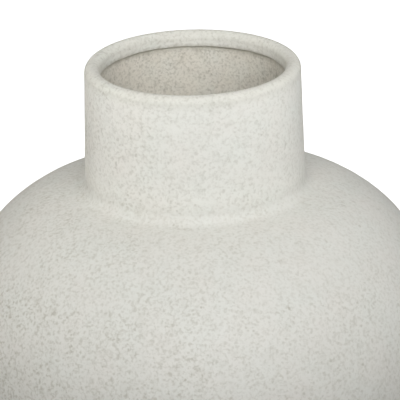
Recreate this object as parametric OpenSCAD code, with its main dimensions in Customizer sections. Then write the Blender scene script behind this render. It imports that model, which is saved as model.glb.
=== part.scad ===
// Stoneware vase with a round belly, a short wide neck and a full-round lip.
// It is a sectionally made pot: a thrown bowl with its floor, a thrown shoulder
// dome, a neck collar and a lip coil, luted together with slip over keyed seams,
// stood on an added foot ring and coated with a matt glaze outside and a liner inside.
// Origin: centre of the base, on the surface that the pads stand on. +Z is up.

/* [Body] */
// Outside diameter at the widest point of the belly
belly_d = 244; // [210:1:280]
// Height of the widest point above the table
lower_h = 115; // [96:1:138]
// Rise from the widest point to the corner where the shoulder meets the neck
shoulder_h = 77; // [66:1:92]
// Fall of the shoulder where it leaves the neck, in degrees
shoulder_slope = 2.6; // [0:0.2:8]
// Fall at which the shoulder's curve passes into the belly's curve, in degrees
shoulder_break = 52; // [46:1:56]
// Wall thickness, both coats included
wall_t = 6.3; // [5.2:0.1:7.8]
// Floor thickness, liner included
floor_t = 8; // [6:0.5:12]
// Radius of the inside corner between the floor and the wall
floor_corner_r = 15; // [8:1:25]

/* [Neck and lip] */
// Outside diameter over the lip
lip_d = 105; // [88:1:124]
// Thickness of the full-round lip
lip_t = 7.4; // [6.2:0.1:9]
// Depth of the crease inside, below the top of the lip
lip_h = 7.3; // [5:0.1:10]
// Height of the neck, from the shoulder corner to the top of the lip
neck_h = 63; // [50:1:78]
// Outward lean of the neck's side towards the shoulder, in degrees
neck_lean = 1.3; // [0:0.1:3]
// Radius of the hollow blend between the neck and the shoulder
neck_blend_r = 5.6; // [4:0.2:9]

/* [Foot] */
// Outside diameter of the foot ring
foot_d = 128; // [106:1:154]
// Width of the foot ring
foot_w = 13; // [10.8:0.2:16]
// Height of the foot ring
foot_h = 7.2; // [5:0.2:12]
// Overhang of the bowl past the foot ring
foot_step = 1.5; // [0.5:0.1:4]
// Chamfer on the foot ring's lower edges
foot_chamfer = 1.2; // [0.4:0.1:1.4]
// Number of pads under the foot ring
pad_count = 4; // [3:1:8]
// Diameter of a pad
pad_d = 8; // [5:0.5:8]
// Thickness of a pad
pad_t = 1.5; // [1:0.1:3]

/* [Seams and coats] */
// Thickness of the slip in every seam
slip_t = 0.8; // [0.4:0.1:1.2]
// Width of the raised key on the lower side of a seam
key_w = 2.4; // [1.4:0.2:3]
// Height of the raised key
key_h = 1.2; // [0.4:0.2:2]
// Thickness of the outside glaze
glaze_t = 0.5; // [0.3:0.1:0.8]
// Thickness of the glaze inside
liner_t = 0.4; // [0.3:0.1:0.6]
// Height of the bare clay between the foot seam and the glaze line
bare_h = 3; // [1:0.5:6]

/* [Hidden] */
$fn = 180;

// Largest gap between an arc and the chords that stand for it
chord_gap = 0.03;

// Depths below the finished outside at which the clay begins and ends
clay_out = glaze_t;
clay_in = wall_t - liner_t;

// --- Geometry helpers ---

// Unit vector at an angle above the horizontal, in the half-section plane
function ray(angle) = [cos(angle), sin(angle)];

// A station is [centre, radius, angle]: a place on the finished outside. The radius is
// negative where the outside is hollow. This is its point at a depth into the wall.
function at_depth(station, depth) = station[0] + (station[1] - depth) * ray(station[2]);
function layer(stations, depth) = [for (station = stations) at_depth(station, depth)];

// Stations along an arc, close enough for chord_gap
function arc(centre, radius, from, to) =
    let (
        step = 2 * acos(1 - chord_gap / max(abs(radius), 1)),
        count = ceil(abs(to - from) / step)
    )
    [for (i = [0 : count]) [centre, radius, from + (to - from) * i / count]];

// A list without its first item, and a list from its end to its start
function rest(list) = [for (i = [1 : len(list) - 1]) list[i]];
function reverse(list) = [for (i = [len(list) - 1 : -1 : 0]) list[i]];

// Two runs of stations end to end, with the shared one kept once
function join(first, second) = concat(first, rest(second));

// Distance from a start, along a direction, to the near side of a circle
function reach(start, direction, centre, radius) =
    let (
        offset = start - centre,
        along = offset * direction
    )
    -along - sqrt(along * along - offset * offset + radius * radius);

// Direction from one point to another, in degrees
function bearing(from, to) = atan2(to[1] - from[1], to[0] - from[0]);

// One face of a keyed seam, from the outside to the inside of the wall, key upwards
function keyed(outside, inside) =
    let (
        across = (inside - outside) / norm(inside - outside),
        up = [across[1], -across[0]],
        middle = (outside + inside) / 2
    )
    [
        outside,
        middle - across * key_w / 2,
        middle + up * key_h,
        middle + across * key_w / 2,
        inside,
    ];

// The key's own points on a seam face, without the ends that lie on the wall's faces
function key_of(face) = [face[1], face[2], face[3]];

// --- Lip and neck ---

vase_h = lower_h + shoulder_h + neck_h;
crease_z = vase_h - lip_h;
lip_r = lip_t / 2;
lip_centre = [lip_d / 2 - lip_r, vase_h - lip_r];

// The neck's side touches the lip's round and runs straight down
neck_down = [sin(neck_lean), -cos(neck_lean)];
function neck_top(depth) = lip_centre + (lip_r - depth) * ray(neck_lean);
function neck_side(z, depth) = [neck_top(depth)[0] + (neck_top(depth)[1] - z) * tan(neck_lean), z];

// --- Shoulder and belly: two arcs that touch, level with the slope at the neck's
// corner and upright at the widest point ---

belly_r = belly_d / 2;
corner = neck_side(lower_h + shoulder_h, 0);
spread = belly_r - corner[0];
turn_r = [sin(shoulder_break) - sin(shoulder_slope), 1 - sin(shoulder_break)];
turn_z = [cos(shoulder_slope) - cos(shoulder_break), cos(shoulder_break)];
turn_det = turn_r[0] * turn_z[1] - turn_r[1] * turn_z[0];
shoulder_r = (spread * turn_z[1] - shoulder_h * turn_r[1]) / turn_det;
upper_r = (shoulder_h * turn_r[0] - spread * turn_z[0]) / turn_det;
shoulder_centre = corner - shoulder_r * ray(90 - shoulder_slope);
upper_centre = [belly_r - upper_r, lower_h];
break_a = 90 - shoulder_break;

// --- Lower body: one arc, upright at the widest point, down to the foot seam ---

seat_z = pad_t + foot_h + slip_t;
inset = belly_r - foot_d / 2 - foot_step;
drop = lower_h - seat_z;
lower_r = (inset * inset + drop * drop) / (2 * inset);
lower_centre = [belly_r - lower_r, lower_h];
seat_a = asin(-drop / (lower_r - clay_out));
glaze_a = asin((bare_h - drop) / (lower_r - clay_out));

// --- Hollow blend between the neck and the shoulder ---

blend_start = lip_centre + (lip_r + neck_blend_r) * ray(neck_lean);
blend_drop = reach(blend_start, neck_down, shoulder_centre, shoulder_r + neck_blend_r);
blend_centre = blend_start + blend_drop * neck_down;
blend_a = bearing(shoulder_centre, blend_centre);

// Corner of the clay under the blend, where the collar stands on the dome
clay_corner_drop = reach(neck_top(clay_out), neck_down, shoulder_centre, shoulder_r - clay_out);
clay_corner = neck_top(clay_out) + clay_corner_drop * neck_down;
clay_corner_a = bearing(shoulder_centre, clay_corner);

// Angle round the blend's centre at which the clay's inside is at a height
function blend_angle(z) = asin((blend_centre[1] - z) / (neck_blend_r + clay_in));

// --- Inside corner between the floor and the wall ---

floor_z = seat_z + floor_t;
floor_corner_z = floor_z + floor_corner_r;
floor_corner_reach = lower_r - wall_t - floor_corner_r;
floor_corner_a = asin((floor_corner_z - lower_h) / floor_corner_reach);
floor_corner_centre = lower_centre + floor_corner_reach * ray(floor_corner_a);

// --- Runs of stations, from the foot up ---

seam_a = slip_t / upper_r * 180 / PI;
bare_run = arc(lower_centre, lower_r, seat_a, glaze_a);
lower_run = arc(lower_centre, lower_r, glaze_a, 0);
seam_run = [[upper_centre, upper_r, 0], [upper_centre, upper_r, seam_a]];
upper_run = join(
    arc(upper_centre, upper_r, seam_a, break_a),
    arc(shoulder_centre, shoulder_r, break_a, blend_a)
);
crown_run = arc(shoulder_centre, shoulder_r, blend_a, clay_corner_a);
blend_run = arc(blend_centre, -neck_blend_r, blend_a, neck_lean);
lip_run = concat(
    join(arc(lip_centre, lip_r, neck_lean, 90), arc(lip_centre, lip_r, 90, 180)),
    [[[lip_d / 2 - lip_t, crease_z], 0, 180]]
);

// The inside of the wall: floor corner, lower wall, then the blend cut at the neck's seam
floor_run = join(
    arc(floor_corner_centre, floor_corner_r + wall_t, -90, floor_corner_a),
    arc(lower_centre, lower_r, floor_corner_a, 0)
);
rim_a = blend_angle(clay_corner[1]);
collar_a = blend_angle(clay_corner[1] + slip_t);
inner_rim_run = arc(blend_centre, -neck_blend_r, blend_a, rim_a);
inner_seam_run = arc(blend_centre, -neck_blend_r, rim_a, collar_a);
inner_collar_run = arc(blend_centre, -neck_blend_r, collar_a, neck_lean);

// --- Seam faces, each from the outside to the inside of the clay ---

belly_seam_low = keyed(at_depth(seam_run[0], clay_out), at_depth(seam_run[0], clay_in));
belly_seam_high = keyed(at_depth(seam_run[1], clay_out), at_depth(seam_run[1], clay_in));
neck_seam_low = keyed(clay_corner, at_depth(inner_seam_run[0], clay_in));
neck_seam_high = keyed(
    neck_side(clay_corner[1] + slip_t, clay_out),
    at_depth(inner_collar_run[0], clay_in)
);
lip_seam_low = keyed(neck_side(crease_z - slip_t, clay_out), neck_side(crease_z - slip_t, clay_in));
lip_seam_high = keyed(neck_side(crease_z, clay_out), neck_side(crease_z, clay_in));

// --- Foot ---

foot_r = foot_d / 2;
foot_in_r = foot_r - foot_w;
foot_top_z = pad_t + foot_h;
pad_circle_r = foot_r - foot_w / 2;

// Soft pads stuck under the foot ring
module foot_pads() {
    color("gainsboro")
    for (i = [0 : pad_count - 1])
        rotate([0, 0, 360 / pad_count * i])
            translate([pad_circle_r, 0, 0])
                cylinder(d = pad_d, h = pad_t);
}

// Turned ring of bare clay
module foot_ring() {
    color("tan")
    rotate_extrude()
        polygon([
            [foot_in_r, foot_top_z],
            [foot_in_r, pad_t + foot_chamfer],
            [foot_in_r + foot_chamfer, pad_t],
            [foot_r - foot_chamfer, pad_t],
            [foot_r, pad_t + foot_chamfer],
            [foot_r, foot_top_z],
        ]);
}

// Slip between the foot ring and the bowl
module foot_slip() {
    color("wheat")
    rotate_extrude()
        translate([foot_in_r, foot_top_z])
            square([foot_w, slip_t]);
}

// Thrown lower half with the floor; its rim carries the key of the belly seam
module bottom_bowl() {
    color("burlywood")
    rotate_extrude()
        polygon(concat(
            [[0, seat_z]],
            layer(join(bare_run, lower_run), clay_out),
            key_of(belly_seam_low),
            layer(reverse(floor_run), clay_in),
            [[0, floor_z - liner_t]]
        ));
}

// Slip in the belly seam
module belly_slip() {
    color("wheat")
    rotate_extrude()
        polygon(concat(belly_seam_low, reverse(belly_seam_high)));
}

// Thrown upper half, from the belly seam to the opening that the collar stands round
module shoulder_dome() {
    color("navajowhite")
    rotate_extrude()
        polygon(concat(
            layer(join(upper_run, crown_run), clay_out),
            key_of(neck_seam_low),
            layer(reverse(join(upper_run, inner_rim_run)), clay_in),
            reverse(key_of(belly_seam_high))
        ));
}

// Slip between the dome and the collar
module neck_slip() {
    color("wheat")
    rotate_extrude()
        polygon(concat(
            neck_seam_low,
            layer(rest(inner_seam_run), clay_in),
            reverse(key_of(neck_seam_high)),
            [neck_seam_high[0]]
        ));
}

// Thrown collar that makes the neck
module neck_collar() {
    color("moccasin")
    rotate_extrude()
        polygon(concat(
            neck_seam_high,
            layer(rest(inner_collar_run), clay_in),
            reverse(lip_seam_low)
        ));
}

// Soft coil pressed into the outside corner and smoothed to a hollow blend
module neck_coil() {
    color("peru")
    rotate_extrude()
        polygon(concat(
            layer(blend_run, clay_out),
            layer(reverse(rest(crown_run)), clay_out)
        ));
}

// Slip between the collar and the lip coil
module lip_slip() {
    color("wheat")
    rotate_extrude()
        polygon(concat(lip_seam_low, reverse(lip_seam_high)));
}

// Full-round lip; its inner edge stands in past the neck's wall and leaves a crease
module lip_coil() {
    color("bisque")
    rotate_extrude()
        polygon(concat(
            layer(lip_run, clay_out),
            reverse(lip_seam_high)
        ));
}

// Matt speckled glaze from the bare band above the foot, over the lip, to the crease
module outer_glaze() {
    body = join(join(lower_run, seam_run), join(upper_run, blend_run));
    run = concat(body, lip_run);
    color("ivory")
    rotate_extrude()
        polygon(concat(layer(run, 0), reverse(layer(run, clay_out))));
}

// Liner glaze over the floor and the wall, up to the crease
module liner_glaze() {
    blend = join(join(inner_rim_run, inner_seam_run), inner_collar_run);
    run = join(join(floor_run, seam_run), join(upper_run, blend));
    color("antiquewhite")
    rotate_extrude()
        polygon(concat(
            [[0, floor_z - liner_t]],
            layer(run, clay_in),
            [neck_side(crease_z, clay_in), neck_side(crease_z, wall_t)],
            reverse(layer(run, wall_t)),
            [[0, floor_z]]
        ));
}

foot_pads();
foot_ring();
foot_slip();
bottom_bowl();
belly_slip();
shoulder_dome();
neck_slip();
neck_collar();
neck_coil();
lip_slip();
lip_coil();
outer_glaze();
liner_glaze();
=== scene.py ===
"""Looks of a hand-thrown stoneware vase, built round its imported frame.

The vase is a sectionally made pot: a thrown bowl, a thrown shoulder dome, a neck
collar and a lip coil, luted with slip, stood on a turned foot ring with soft pads,
and coated with a matt speckled glaze outside and a liner glaze inside. Every piece is
a surface of revolution, worked out as a grid of rows along its half-section and
columns round the axis, with the small departures from true that hands leave.

Lengths are in metres, angles in radians. The origin is the centre of the base, +Z up.
"""

import logging
from collections.abc import Sequence
from dataclasses import dataclass, field
from enum import Enum
from functools import cached_property
from math import asin, atan2, cos, pi, radians, sin, sqrt, tan

import bpy
import numpy as np
from mathutils import Matrix, Vector

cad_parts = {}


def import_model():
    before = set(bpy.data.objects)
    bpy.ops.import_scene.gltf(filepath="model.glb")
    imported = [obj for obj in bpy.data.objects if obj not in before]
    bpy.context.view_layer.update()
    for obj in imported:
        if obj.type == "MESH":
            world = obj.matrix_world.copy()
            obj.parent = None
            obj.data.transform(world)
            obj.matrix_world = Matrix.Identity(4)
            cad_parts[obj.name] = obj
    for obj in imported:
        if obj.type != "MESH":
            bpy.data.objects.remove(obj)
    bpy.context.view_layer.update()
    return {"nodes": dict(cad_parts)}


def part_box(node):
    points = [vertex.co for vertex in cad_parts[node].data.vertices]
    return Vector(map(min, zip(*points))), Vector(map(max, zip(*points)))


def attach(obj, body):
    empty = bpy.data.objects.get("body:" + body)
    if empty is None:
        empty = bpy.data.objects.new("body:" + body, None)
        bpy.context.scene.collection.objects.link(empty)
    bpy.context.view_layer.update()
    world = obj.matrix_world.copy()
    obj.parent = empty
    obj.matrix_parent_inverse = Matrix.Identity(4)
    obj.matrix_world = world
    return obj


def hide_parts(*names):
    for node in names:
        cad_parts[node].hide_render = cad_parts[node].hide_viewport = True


Array = np.ndarray
Triple = tuple[float, float, float]
Colour = Triple
Socket = bpy.types.NodeSocket
Sockets = bpy.types.bpy_prop_collection

MM = 0.001
TURN = 2 * pi
# Columns round the axis of a turned piece.
COLUMNS = 288
# Power after which a growing step is at its limit anyway.
LONGEST_POWER = 200
# Value about which a noise texture varies.
NOISE_MIDDLE = 0.5
# Numbers of the colour sockets of a Mix node.
MIX_SHARE, MIX_FIRST, MIX_SECOND, MIX_RESULT = 0, 6, 7, 2
# The one body of the vase.
ROOT = "root"
BLACK: Colour = (0.0, 0.0, 0.0)
WHITE: Colour = (1.0, 1.0, 1.0)
WARM_WHITE: Colour = (1.0, 0.982, 0.945)
COOL_WHITE: Colour = (0.95, 0.98, 1.0)
LOG = logging.getLogger("vase")


class Slot(Enum):
    """Material slots of the record."""

    MATT_GLAZE = "matt_glaze"
    LINER = "liner"
    CLAY = "clay"
    SLIP = "slip"
    PAD = "pad"


# --- Half-section geometry ---


def ray(angle: float | Array) -> Array:
    """Unit vector at an angle above the horizontal, in the plane of radius and height."""
    return np.stack([np.cos(angle), np.sin(angle)], axis=-1)


def column_angles(columns: int = COLUMNS) -> Array:
    """Angles of the columns round the axis, one full turn without its end."""
    return np.arange(columns) * (TURN / columns)


def steps_between(length: float, step: float) -> Array:
    """Shares from 0 to 1 that cut a length into equal steps no longer than `step`."""
    return np.linspace(0.0, 1.0, max(2, int(np.ceil(length / step)) + 1))


def graded(length: float, first: float, growth: float, step: float) -> Array:
    """Shares from 0 to 1 whose steps grow from fine to coarse.

    The k-th step is first * growth**k, but no longer than `step`; the running sum is
    cut where it passes the length and scaled to end on it.

    Args:
        length: Length that is divided.
        first: Length of the first step.
        growth: Ratio of each step to the one before.
        step: Longest step.

    Returns:
        Increasing shares, the first 0 and the last 1.
    """
    count = np.arange(int(np.ceil(length / first)) + 2)
    sizes = np.minimum(step, first * growth ** np.minimum(count, LONGEST_POWER))
    places = np.concatenate([[0.0], np.cumsum(sizes)])
    kept = places[: np.searchsorted(places, length) + 1]
    return kept / kept[-1]


def smooth(low: float, high: float, value: float | Array) -> Array:
    """Smooth step: 0 below `low`, 1 above `high`, 3t^2 - 2t^3 between them."""
    share = np.clip((value - low) / (high - low), 0.0, 1.0)
    return share * share * (3.0 - 2.0 * share)


def stacked(*grids: Array) -> Array:
    """Grids of points end to end, widened to the largest number of columns.

    Args:
        grids: Rows x columns (or 1) x 2 each.

    Returns:
        All rows, in order.
    """
    columns = max(grid.shape[1] for grid in grids)
    return np.concatenate([np.broadcast_to(grid, (len(grid), columns, 2)) for grid in grids])


@dataclass(frozen=True)
class Outline:
    """Part of a piece's half-section, as rows by columns of points.

    Args:
        place: Rows x columns (or 1) x 2: radius and height.
        push: Same shape: the direction and share of the throwing ridges there.
    """

    place: Array
    push: Array

    def back(self) -> "Outline":
        """The same rows in the opposite order."""
        return Outline(self.place[::-1], self.push[::-1])

    def without_first(self) -> "Outline":
        """The rows after the first one, where the first is already in the run before."""
        return Outline(self.place[1:], self.push[1:])

    def middle(self) -> "Outline":
        """The rows between the first and the last, where both are already there."""
        return Outline(self.place[1:-1], self.push[1:-1])


def still(place: Array) -> Outline:
    """Points that carry no ridges, as an outline."""
    return Outline(place, np.zeros_like(place))


def joined(*parts: Outline) -> Outline:
    """Outlines end to end, widened to the largest number of columns.

    Args:
        parts: The outlines, in order.

    Returns:
        One outline through all of them.
    """
    return Outline(stacked(*[part.place for part in parts]), stacked(*[part.push for part in parts]))


def line(start: Sequence[float], end: Sequence[float], step: float) -> Outline:
    """A straight stretch that carries no ridges: start + share * (end - start).

    Args:
        start: Radius and height of its start.
        end: Radius and height of its end.
        step: Longest face.

    Returns:
        The stretch, with both ends.
    """
    first, last = np.asarray(start, float), np.asarray(end, float)
    share = steps_between(float(np.linalg.norm(last - first)), step)[:, None, None]
    return still(first + share * (last - first))


@dataclass(frozen=True)
class Run:
    """Places along the finished outside, with the direction that is out at each.

    Args:
        place: Rows x columns (or 1) x 2: radius and height.
        out: Same shape: unit vectors.
    """

    place: Array
    out: Array

    def sunk(self, depth: float | Array) -> Array:
        """The points at a depth below the finished outside: place - depth * out."""
        return self.place - np.asarray(depth)[..., None] * self.out

    def outside(self, depth: float | Array) -> Outline:
        """The run at a depth, as part of a piece's outer face."""
        return still(self.sunk(depth))

    def inside(self, depth: float | Array) -> Outline:
        """The run at a depth, as part of an inner face, with the ridges pushing inwards."""
        place = self.sunk(depth)
        return Outline(place, np.broadcast_to(-self.out, place.shape))

    def then(self, other: "Run") -> "Run":
        """This run and the next, which starts where this one ends."""
        return Run(stacked(self.place, other.place[1:]), stacked(self.out, other.out[1:]))


@dataclass(frozen=True)
class Circle:
    """A circle of the half-section.

    Args:
        centre: Radius and height of its centre.
        radius: Its radius, negative where the outside is hollow.
    """

    centre: Array
    radius: float

    def at(self, angle: float | Array, depth: float = 0.0) -> Array:
        """The point at an angle and a depth: centre + (radius - depth) * ray."""
        return self.centre + (self.radius - depth) * ray(angle)

    def run(self, start: float | Array, stop: float, share: Array) -> Run:
        """Places at start + share * (stop - start) round the circle, out along the ray.

        Args:
            start: First angle; an array gives one column each.
            stop: Last angle.
            share: Shares from 0 to 1.

        Returns:
            The run.
        """
        first = np.atleast_1d(start)
        angle = first + share[:, None] * (stop - first)
        return Run(self.at(angle), ray(angle))

    def arc(self, start: float | Array, stop: float, step: float) -> Run:
        """A run in equal steps no longer than `step` along the arc."""
        length = float(np.max(np.abs(stop - np.atleast_1d(start)))) * abs(self.radius)
        return self.run(start, stop, steps_between(length, step))


def reach(start: Array, direction: Array, circle: Circle) -> float:
    """Distance from a start, along a unit direction, to the near side of a circle.

    Args:
        start: The start.
        direction: The unit direction.
        circle: The circle.

    Returns:
        The distance.
    """
    offset = start - circle.centre
    along = float(offset @ direction)
    return -along - sqrt(along * along - float(offset @ offset) + circle.radius**2)


def bearing(start: Array, end: Array) -> float:
    """Angle above the horizontal of the way from one point to another."""
    return atan2(end[1] - start[1], end[0] - start[0])


@dataclass(frozen=True)
class Form:
    """The pot's half-section: a few arcs and lines that touch, from the foot to the lip.

    Args:
        belly_r: Radius at the widest point.
        height: Height of the lip's top.
        widest_z: Height of the widest point.
        crease_z: Height of the crease inside the mouth, where the lip coil begins.
        lip_out_r: Outer radius of the lip.
        foot_r: Outer radius of the foot ring.
        foot_top_z: Height of the ring's top.
        seat_z: Height of the bowl's underside.
        shoulder_rise: Height from the widest point to the neck's corner.
        shoulder_slope: Fall of the shoulder at the neck.
        shoulder_break: Fall of the surface where the shoulder's circle meets the belly's.
        wall_t: Thickness of the wall with both coats.
        floor_t: Thickness of the floor with its liner.
        floor_corner_r: Round between floor and wall.
        lip_t: Thickness of the lip.
        neck_lean: Angle that the neck widens downwards.
        neck_blend_r: Round of the hollow at the neck's foot.
        foot_step: How far the bowl stands out over the foot ring.
        foot_w: Width of the foot ring.
        slip_t: Thickness of the slip in a seam.
        key_w: Width of a seam's key.
        key_h: Height of a seam's key.
        glaze_t: Thickness of the glaze outside.
        liner_t: Thickness of the liner.
        bare_h: Height of the bare band above the seat.
        row_step: Longest face along the half-section.
        fine_step: Longest face where it turns tightly.
    """

    belly_r: float
    height: float
    widest_z: float
    crease_z: float
    lip_out_r: float
    foot_r: float
    foot_top_z: float
    seat_z: float
    shoulder_rise: float = 77.0 * MM
    shoulder_slope: float = radians(2.6)
    shoulder_break: float = radians(52.0)
    wall_t: float = 6.3 * MM
    floor_t: float = 8.0 * MM
    floor_corner_r: float = 15.0 * MM
    lip_t: float = 7.4 * MM
    neck_lean: float = radians(1.3)
    neck_blend_r: float = 5.6 * MM
    foot_step: float = 1.5 * MM
    foot_w: float = 13.0 * MM
    slip_t: float = 0.8 * MM
    key_w: float = 2.4 * MM
    key_h: float = 1.2 * MM
    glaze_t: float = 0.5 * MM
    liner_t: float = 0.4 * MM
    bare_h: float = 3.0 * MM
    row_step: float = 2.8 * MM
    fine_step: float = 0.6 * MM

    @classmethod
    def from_frame(cls) -> "Form":
        """Reads the overall sizes off the boxes of the CAD nodes.

        Returns:
            The form.
        """
        _, glaze_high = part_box("outer_glaze")
        lip_low, lip_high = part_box("lip_coil")
        seam_low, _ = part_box("belly_slip")
        slip_low, slip_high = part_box("foot_slip")
        return cls(
            belly_r=glaze_high.x,
            height=glaze_high.z,
            widest_z=seam_low.z,
            crease_z=lip_low.z,
            lip_out_r=lip_high.x + glaze_high.z - lip_high.z,
            foot_r=slip_high.x,
            foot_top_z=slip_low.z,
            seat_z=slip_high.z,
        )

    @property
    def clay_in(self) -> float:
        """Depth at which the clay ends and the liner begins."""
        return self.wall_t - self.liner_t

    @cached_property
    def lip(self) -> Circle:
        """The lip's round."""
        radius = self.lip_t / 2
        return Circle(np.array([self.lip_out_r - radius, self.height - radius]), radius)

    @property
    def lip_in_r(self) -> float:
        """Radius of the lip's inner face."""
        return self.lip_out_r - self.lip_t

    def neck_top(self, depth: float) -> Array:
        """The point where the neck's side touches the lip's round, at a depth."""
        return self.lip.at(self.neck_lean, depth)

    def neck_point(self, z: float | Array, depth: float) -> Array:
        """The point of the neck's straight side at a height and a depth.

        Args:
            z: The height.
            depth: The depth.

        Returns:
            Radius and height.
        """
        top = self.neck_top(depth)
        height = np.asarray(z, float)
        return np.stack([top[0] + (top[1] - height) * tan(self.neck_lean), height], axis=-1)

    def neck_rows(self, low: float, high: float, depth: float, inner: bool) -> Outline:
        """The neck's straight side between two heights, at a depth.

        Args:
            low: Lower height.
            high: Upper height.
            depth: The depth.
            inner: True on the inside, where the ridges push.

        Returns:
            The stretch, upwards.
        """
        z = low + steps_between(high - low, self.row_step) * (high - low)
        place = self.neck_point(z, depth)[:, None, :]
        push = np.broadcast_to(-ray(self.neck_lean), place.shape)
        return Outline(place, push) if inner else still(place)

    @cached_property
    def shoulder_and_belly(self) -> tuple[Circle, Circle]:
        """The shoulder's circle and the belly's, which touch at the break.

        Their radii s and b solve two linear equations: the shoulder leaves the neck's
        corner at the slope, and the belly is upright at the widest point.

        Returns:
            Both circles.
        """
        corner = self.neck_point(self.widest_z + self.shoulder_rise, 0.0)
        slope, turn = self.shoulder_slope, self.shoulder_break
        across = [sin(turn) - sin(slope), 1.0 - sin(turn)]
        upward = [cos(slope) - cos(turn), cos(turn)]
        wanted = [self.belly_r - corner[0], self.shoulder_rise]
        shoulder_r, belly_r = np.linalg.solve([across, upward], wanted)
        shoulder = Circle(corner - shoulder_r * ray(pi / 2 - slope), float(shoulder_r))
        belly = Circle(np.array([self.belly_r - belly_r, self.widest_z]), float(belly_r))
        return shoulder, belly

    @property
    def shoulder(self) -> Circle:
        """The shoulder's circle."""
        return self.shoulder_and_belly[0]

    @property
    def belly(self) -> Circle:
        """The circle from the widest point up to the break."""
        return self.shoulder_and_belly[1]

    @cached_property
    def lower(self) -> Circle:
        """The circle of the lower body, upright at the widest point, down to the seat.

        Returns:
            The circle.
        """
        inset = self.belly_r - self.foot_r - self.foot_step
        drop = self.widest_z - self.seat_z
        radius = (inset * inset + drop * drop) / (2 * inset)
        return Circle(np.array([self.belly_r - radius, self.widest_z]), radius)

    def lower_angle(self, z: float, depth: float) -> float:
        """Angle round the lower circle at which a depth of the wall is at a height."""
        return asin((z - self.widest_z) / (self.lower.radius - depth))

    @cached_property
    def blend(self) -> Circle:
        """The hollow between neck and shoulder: it touches the neck's side and the shoulder.

        Returns:
            The circle, with a negative radius.
        """
        down = np.array([sin(self.neck_lean), -cos(self.neck_lean)])
        start = self.lip.centre + (self.lip.radius + self.neck_blend_r) * ray(self.neck_lean)
        wide = Circle(self.shoulder.centre, self.shoulder.radius + self.neck_blend_r)
        return Circle(start + reach(start, down, wide) * down, -self.neck_blend_r)

    @cached_property
    def blend_a(self) -> float:
        """Angle at which the shoulder passes into the blend."""
        return bearing(self.shoulder.centre, self.blend.centre)

    @cached_property
    def clay_corner(self) -> Array:
        """The corner under the blend, where the collar stands on the dome.

        Returns:
            Radius and height.
        """
        down = np.array([sin(self.neck_lean), -cos(self.neck_lean)])
        start = self.neck_top(self.glaze_t)
        clay = Circle(self.shoulder.centre, self.shoulder.radius - self.glaze_t)
        return start + reach(start, down, clay) * down

    @property
    def corner_z(self) -> float:
        """Height of the corner under the blend."""
        return float(self.clay_corner[1])

    def blend_angle(self, z: float) -> float:
        """Angle round the blend at which the clay's inside is at a height."""
        return asin((self.blend.centre[1] - z) / (self.neck_blend_r + self.clay_in))

    @cached_property
    def floor_z(self) -> float:
        """Height of the finished floor inside."""
        return self.seat_z + self.floor_t

    @cached_property
    def floor_corner(self) -> Circle:
        """The round between floor and wall, measured on the finished outside.

        Returns:
            The circle.
        """
        span = self.lower.radius - self.wall_t - self.floor_corner_r
        lift = self.floor_z + self.floor_corner_r - self.widest_z
        angle = asin(lift / span)
        return Circle(self.lower.centre + span * ray(angle), self.floor_corner_r + self.wall_t)

    @cached_property
    def upper_run(self) -> Run:
        """The outside from the belly seam up to where the blend begins.

        Returns:
            The run, upwards.
        """
        change = pi / 2 - self.shoulder_break
        belly = self.belly.arc(self.seam_a, change, self.row_step)
        return belly.then(self.shoulder.arc(change, self.blend_a, self.row_step))

    @property
    def seam_a(self) -> float:
        """Angle of the belly's circle that the belly seam takes up."""
        return self.slip_t / self.belly.radius

    @cached_property
    def floor_run(self) -> Run:
        """The floor's corner and the lower wall, up to the belly seam.

        Returns:
            The run, upwards.
        """
        turn = bearing(self.lower.centre, self.floor_corner.centre)
        corner = self.floor_corner.arc(-pi / 2, turn, self.row_step)
        return corner.then(self.lower.arc(turn, 0.0, self.row_step))

    @cached_property
    def seam_run(self) -> Run:
        """The short stretch of the belly seam."""
        return self.belly.arc(0.0, self.seam_a, self.row_step)

    def keyed(self, outside: Array, inside: Array) -> Outline:
        """One face of a keyed seam, from the outside to the inside of the wall.

        A straight face with a raised key in its middle: at a distance x from the middle
        the face rises by key_h * cos^2(pi x / key_w), square to the face, and not at all
        further out than half of key_w. The ridges' push grows from nothing at the
        outside to all of it at the inside.

        Args:
            outside: Radius and height of its outer end.
            inside: Radius and height of its inner end.

        Returns:
            The face.
        """
        length = float(np.linalg.norm(inside - outside))
        across = (inside - outside) / length
        up = np.array([across[1], -across[0]])
        share = steps_between(length, self.fine_step / 2)
        from_middle = (share - 0.5) * length
        rise = np.where(
            np.abs(from_middle) < self.key_w / 2,
            self.key_h * np.cos(pi * from_middle / self.key_w) ** 2,
            0.0,
        )
        place = outside + (share * length)[:, None] * across + rise[:, None] * up
        push = share[:, None] * across
        return Outline(place[:, None, :], push[:, None, :])


# --- What hands leave ---


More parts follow.
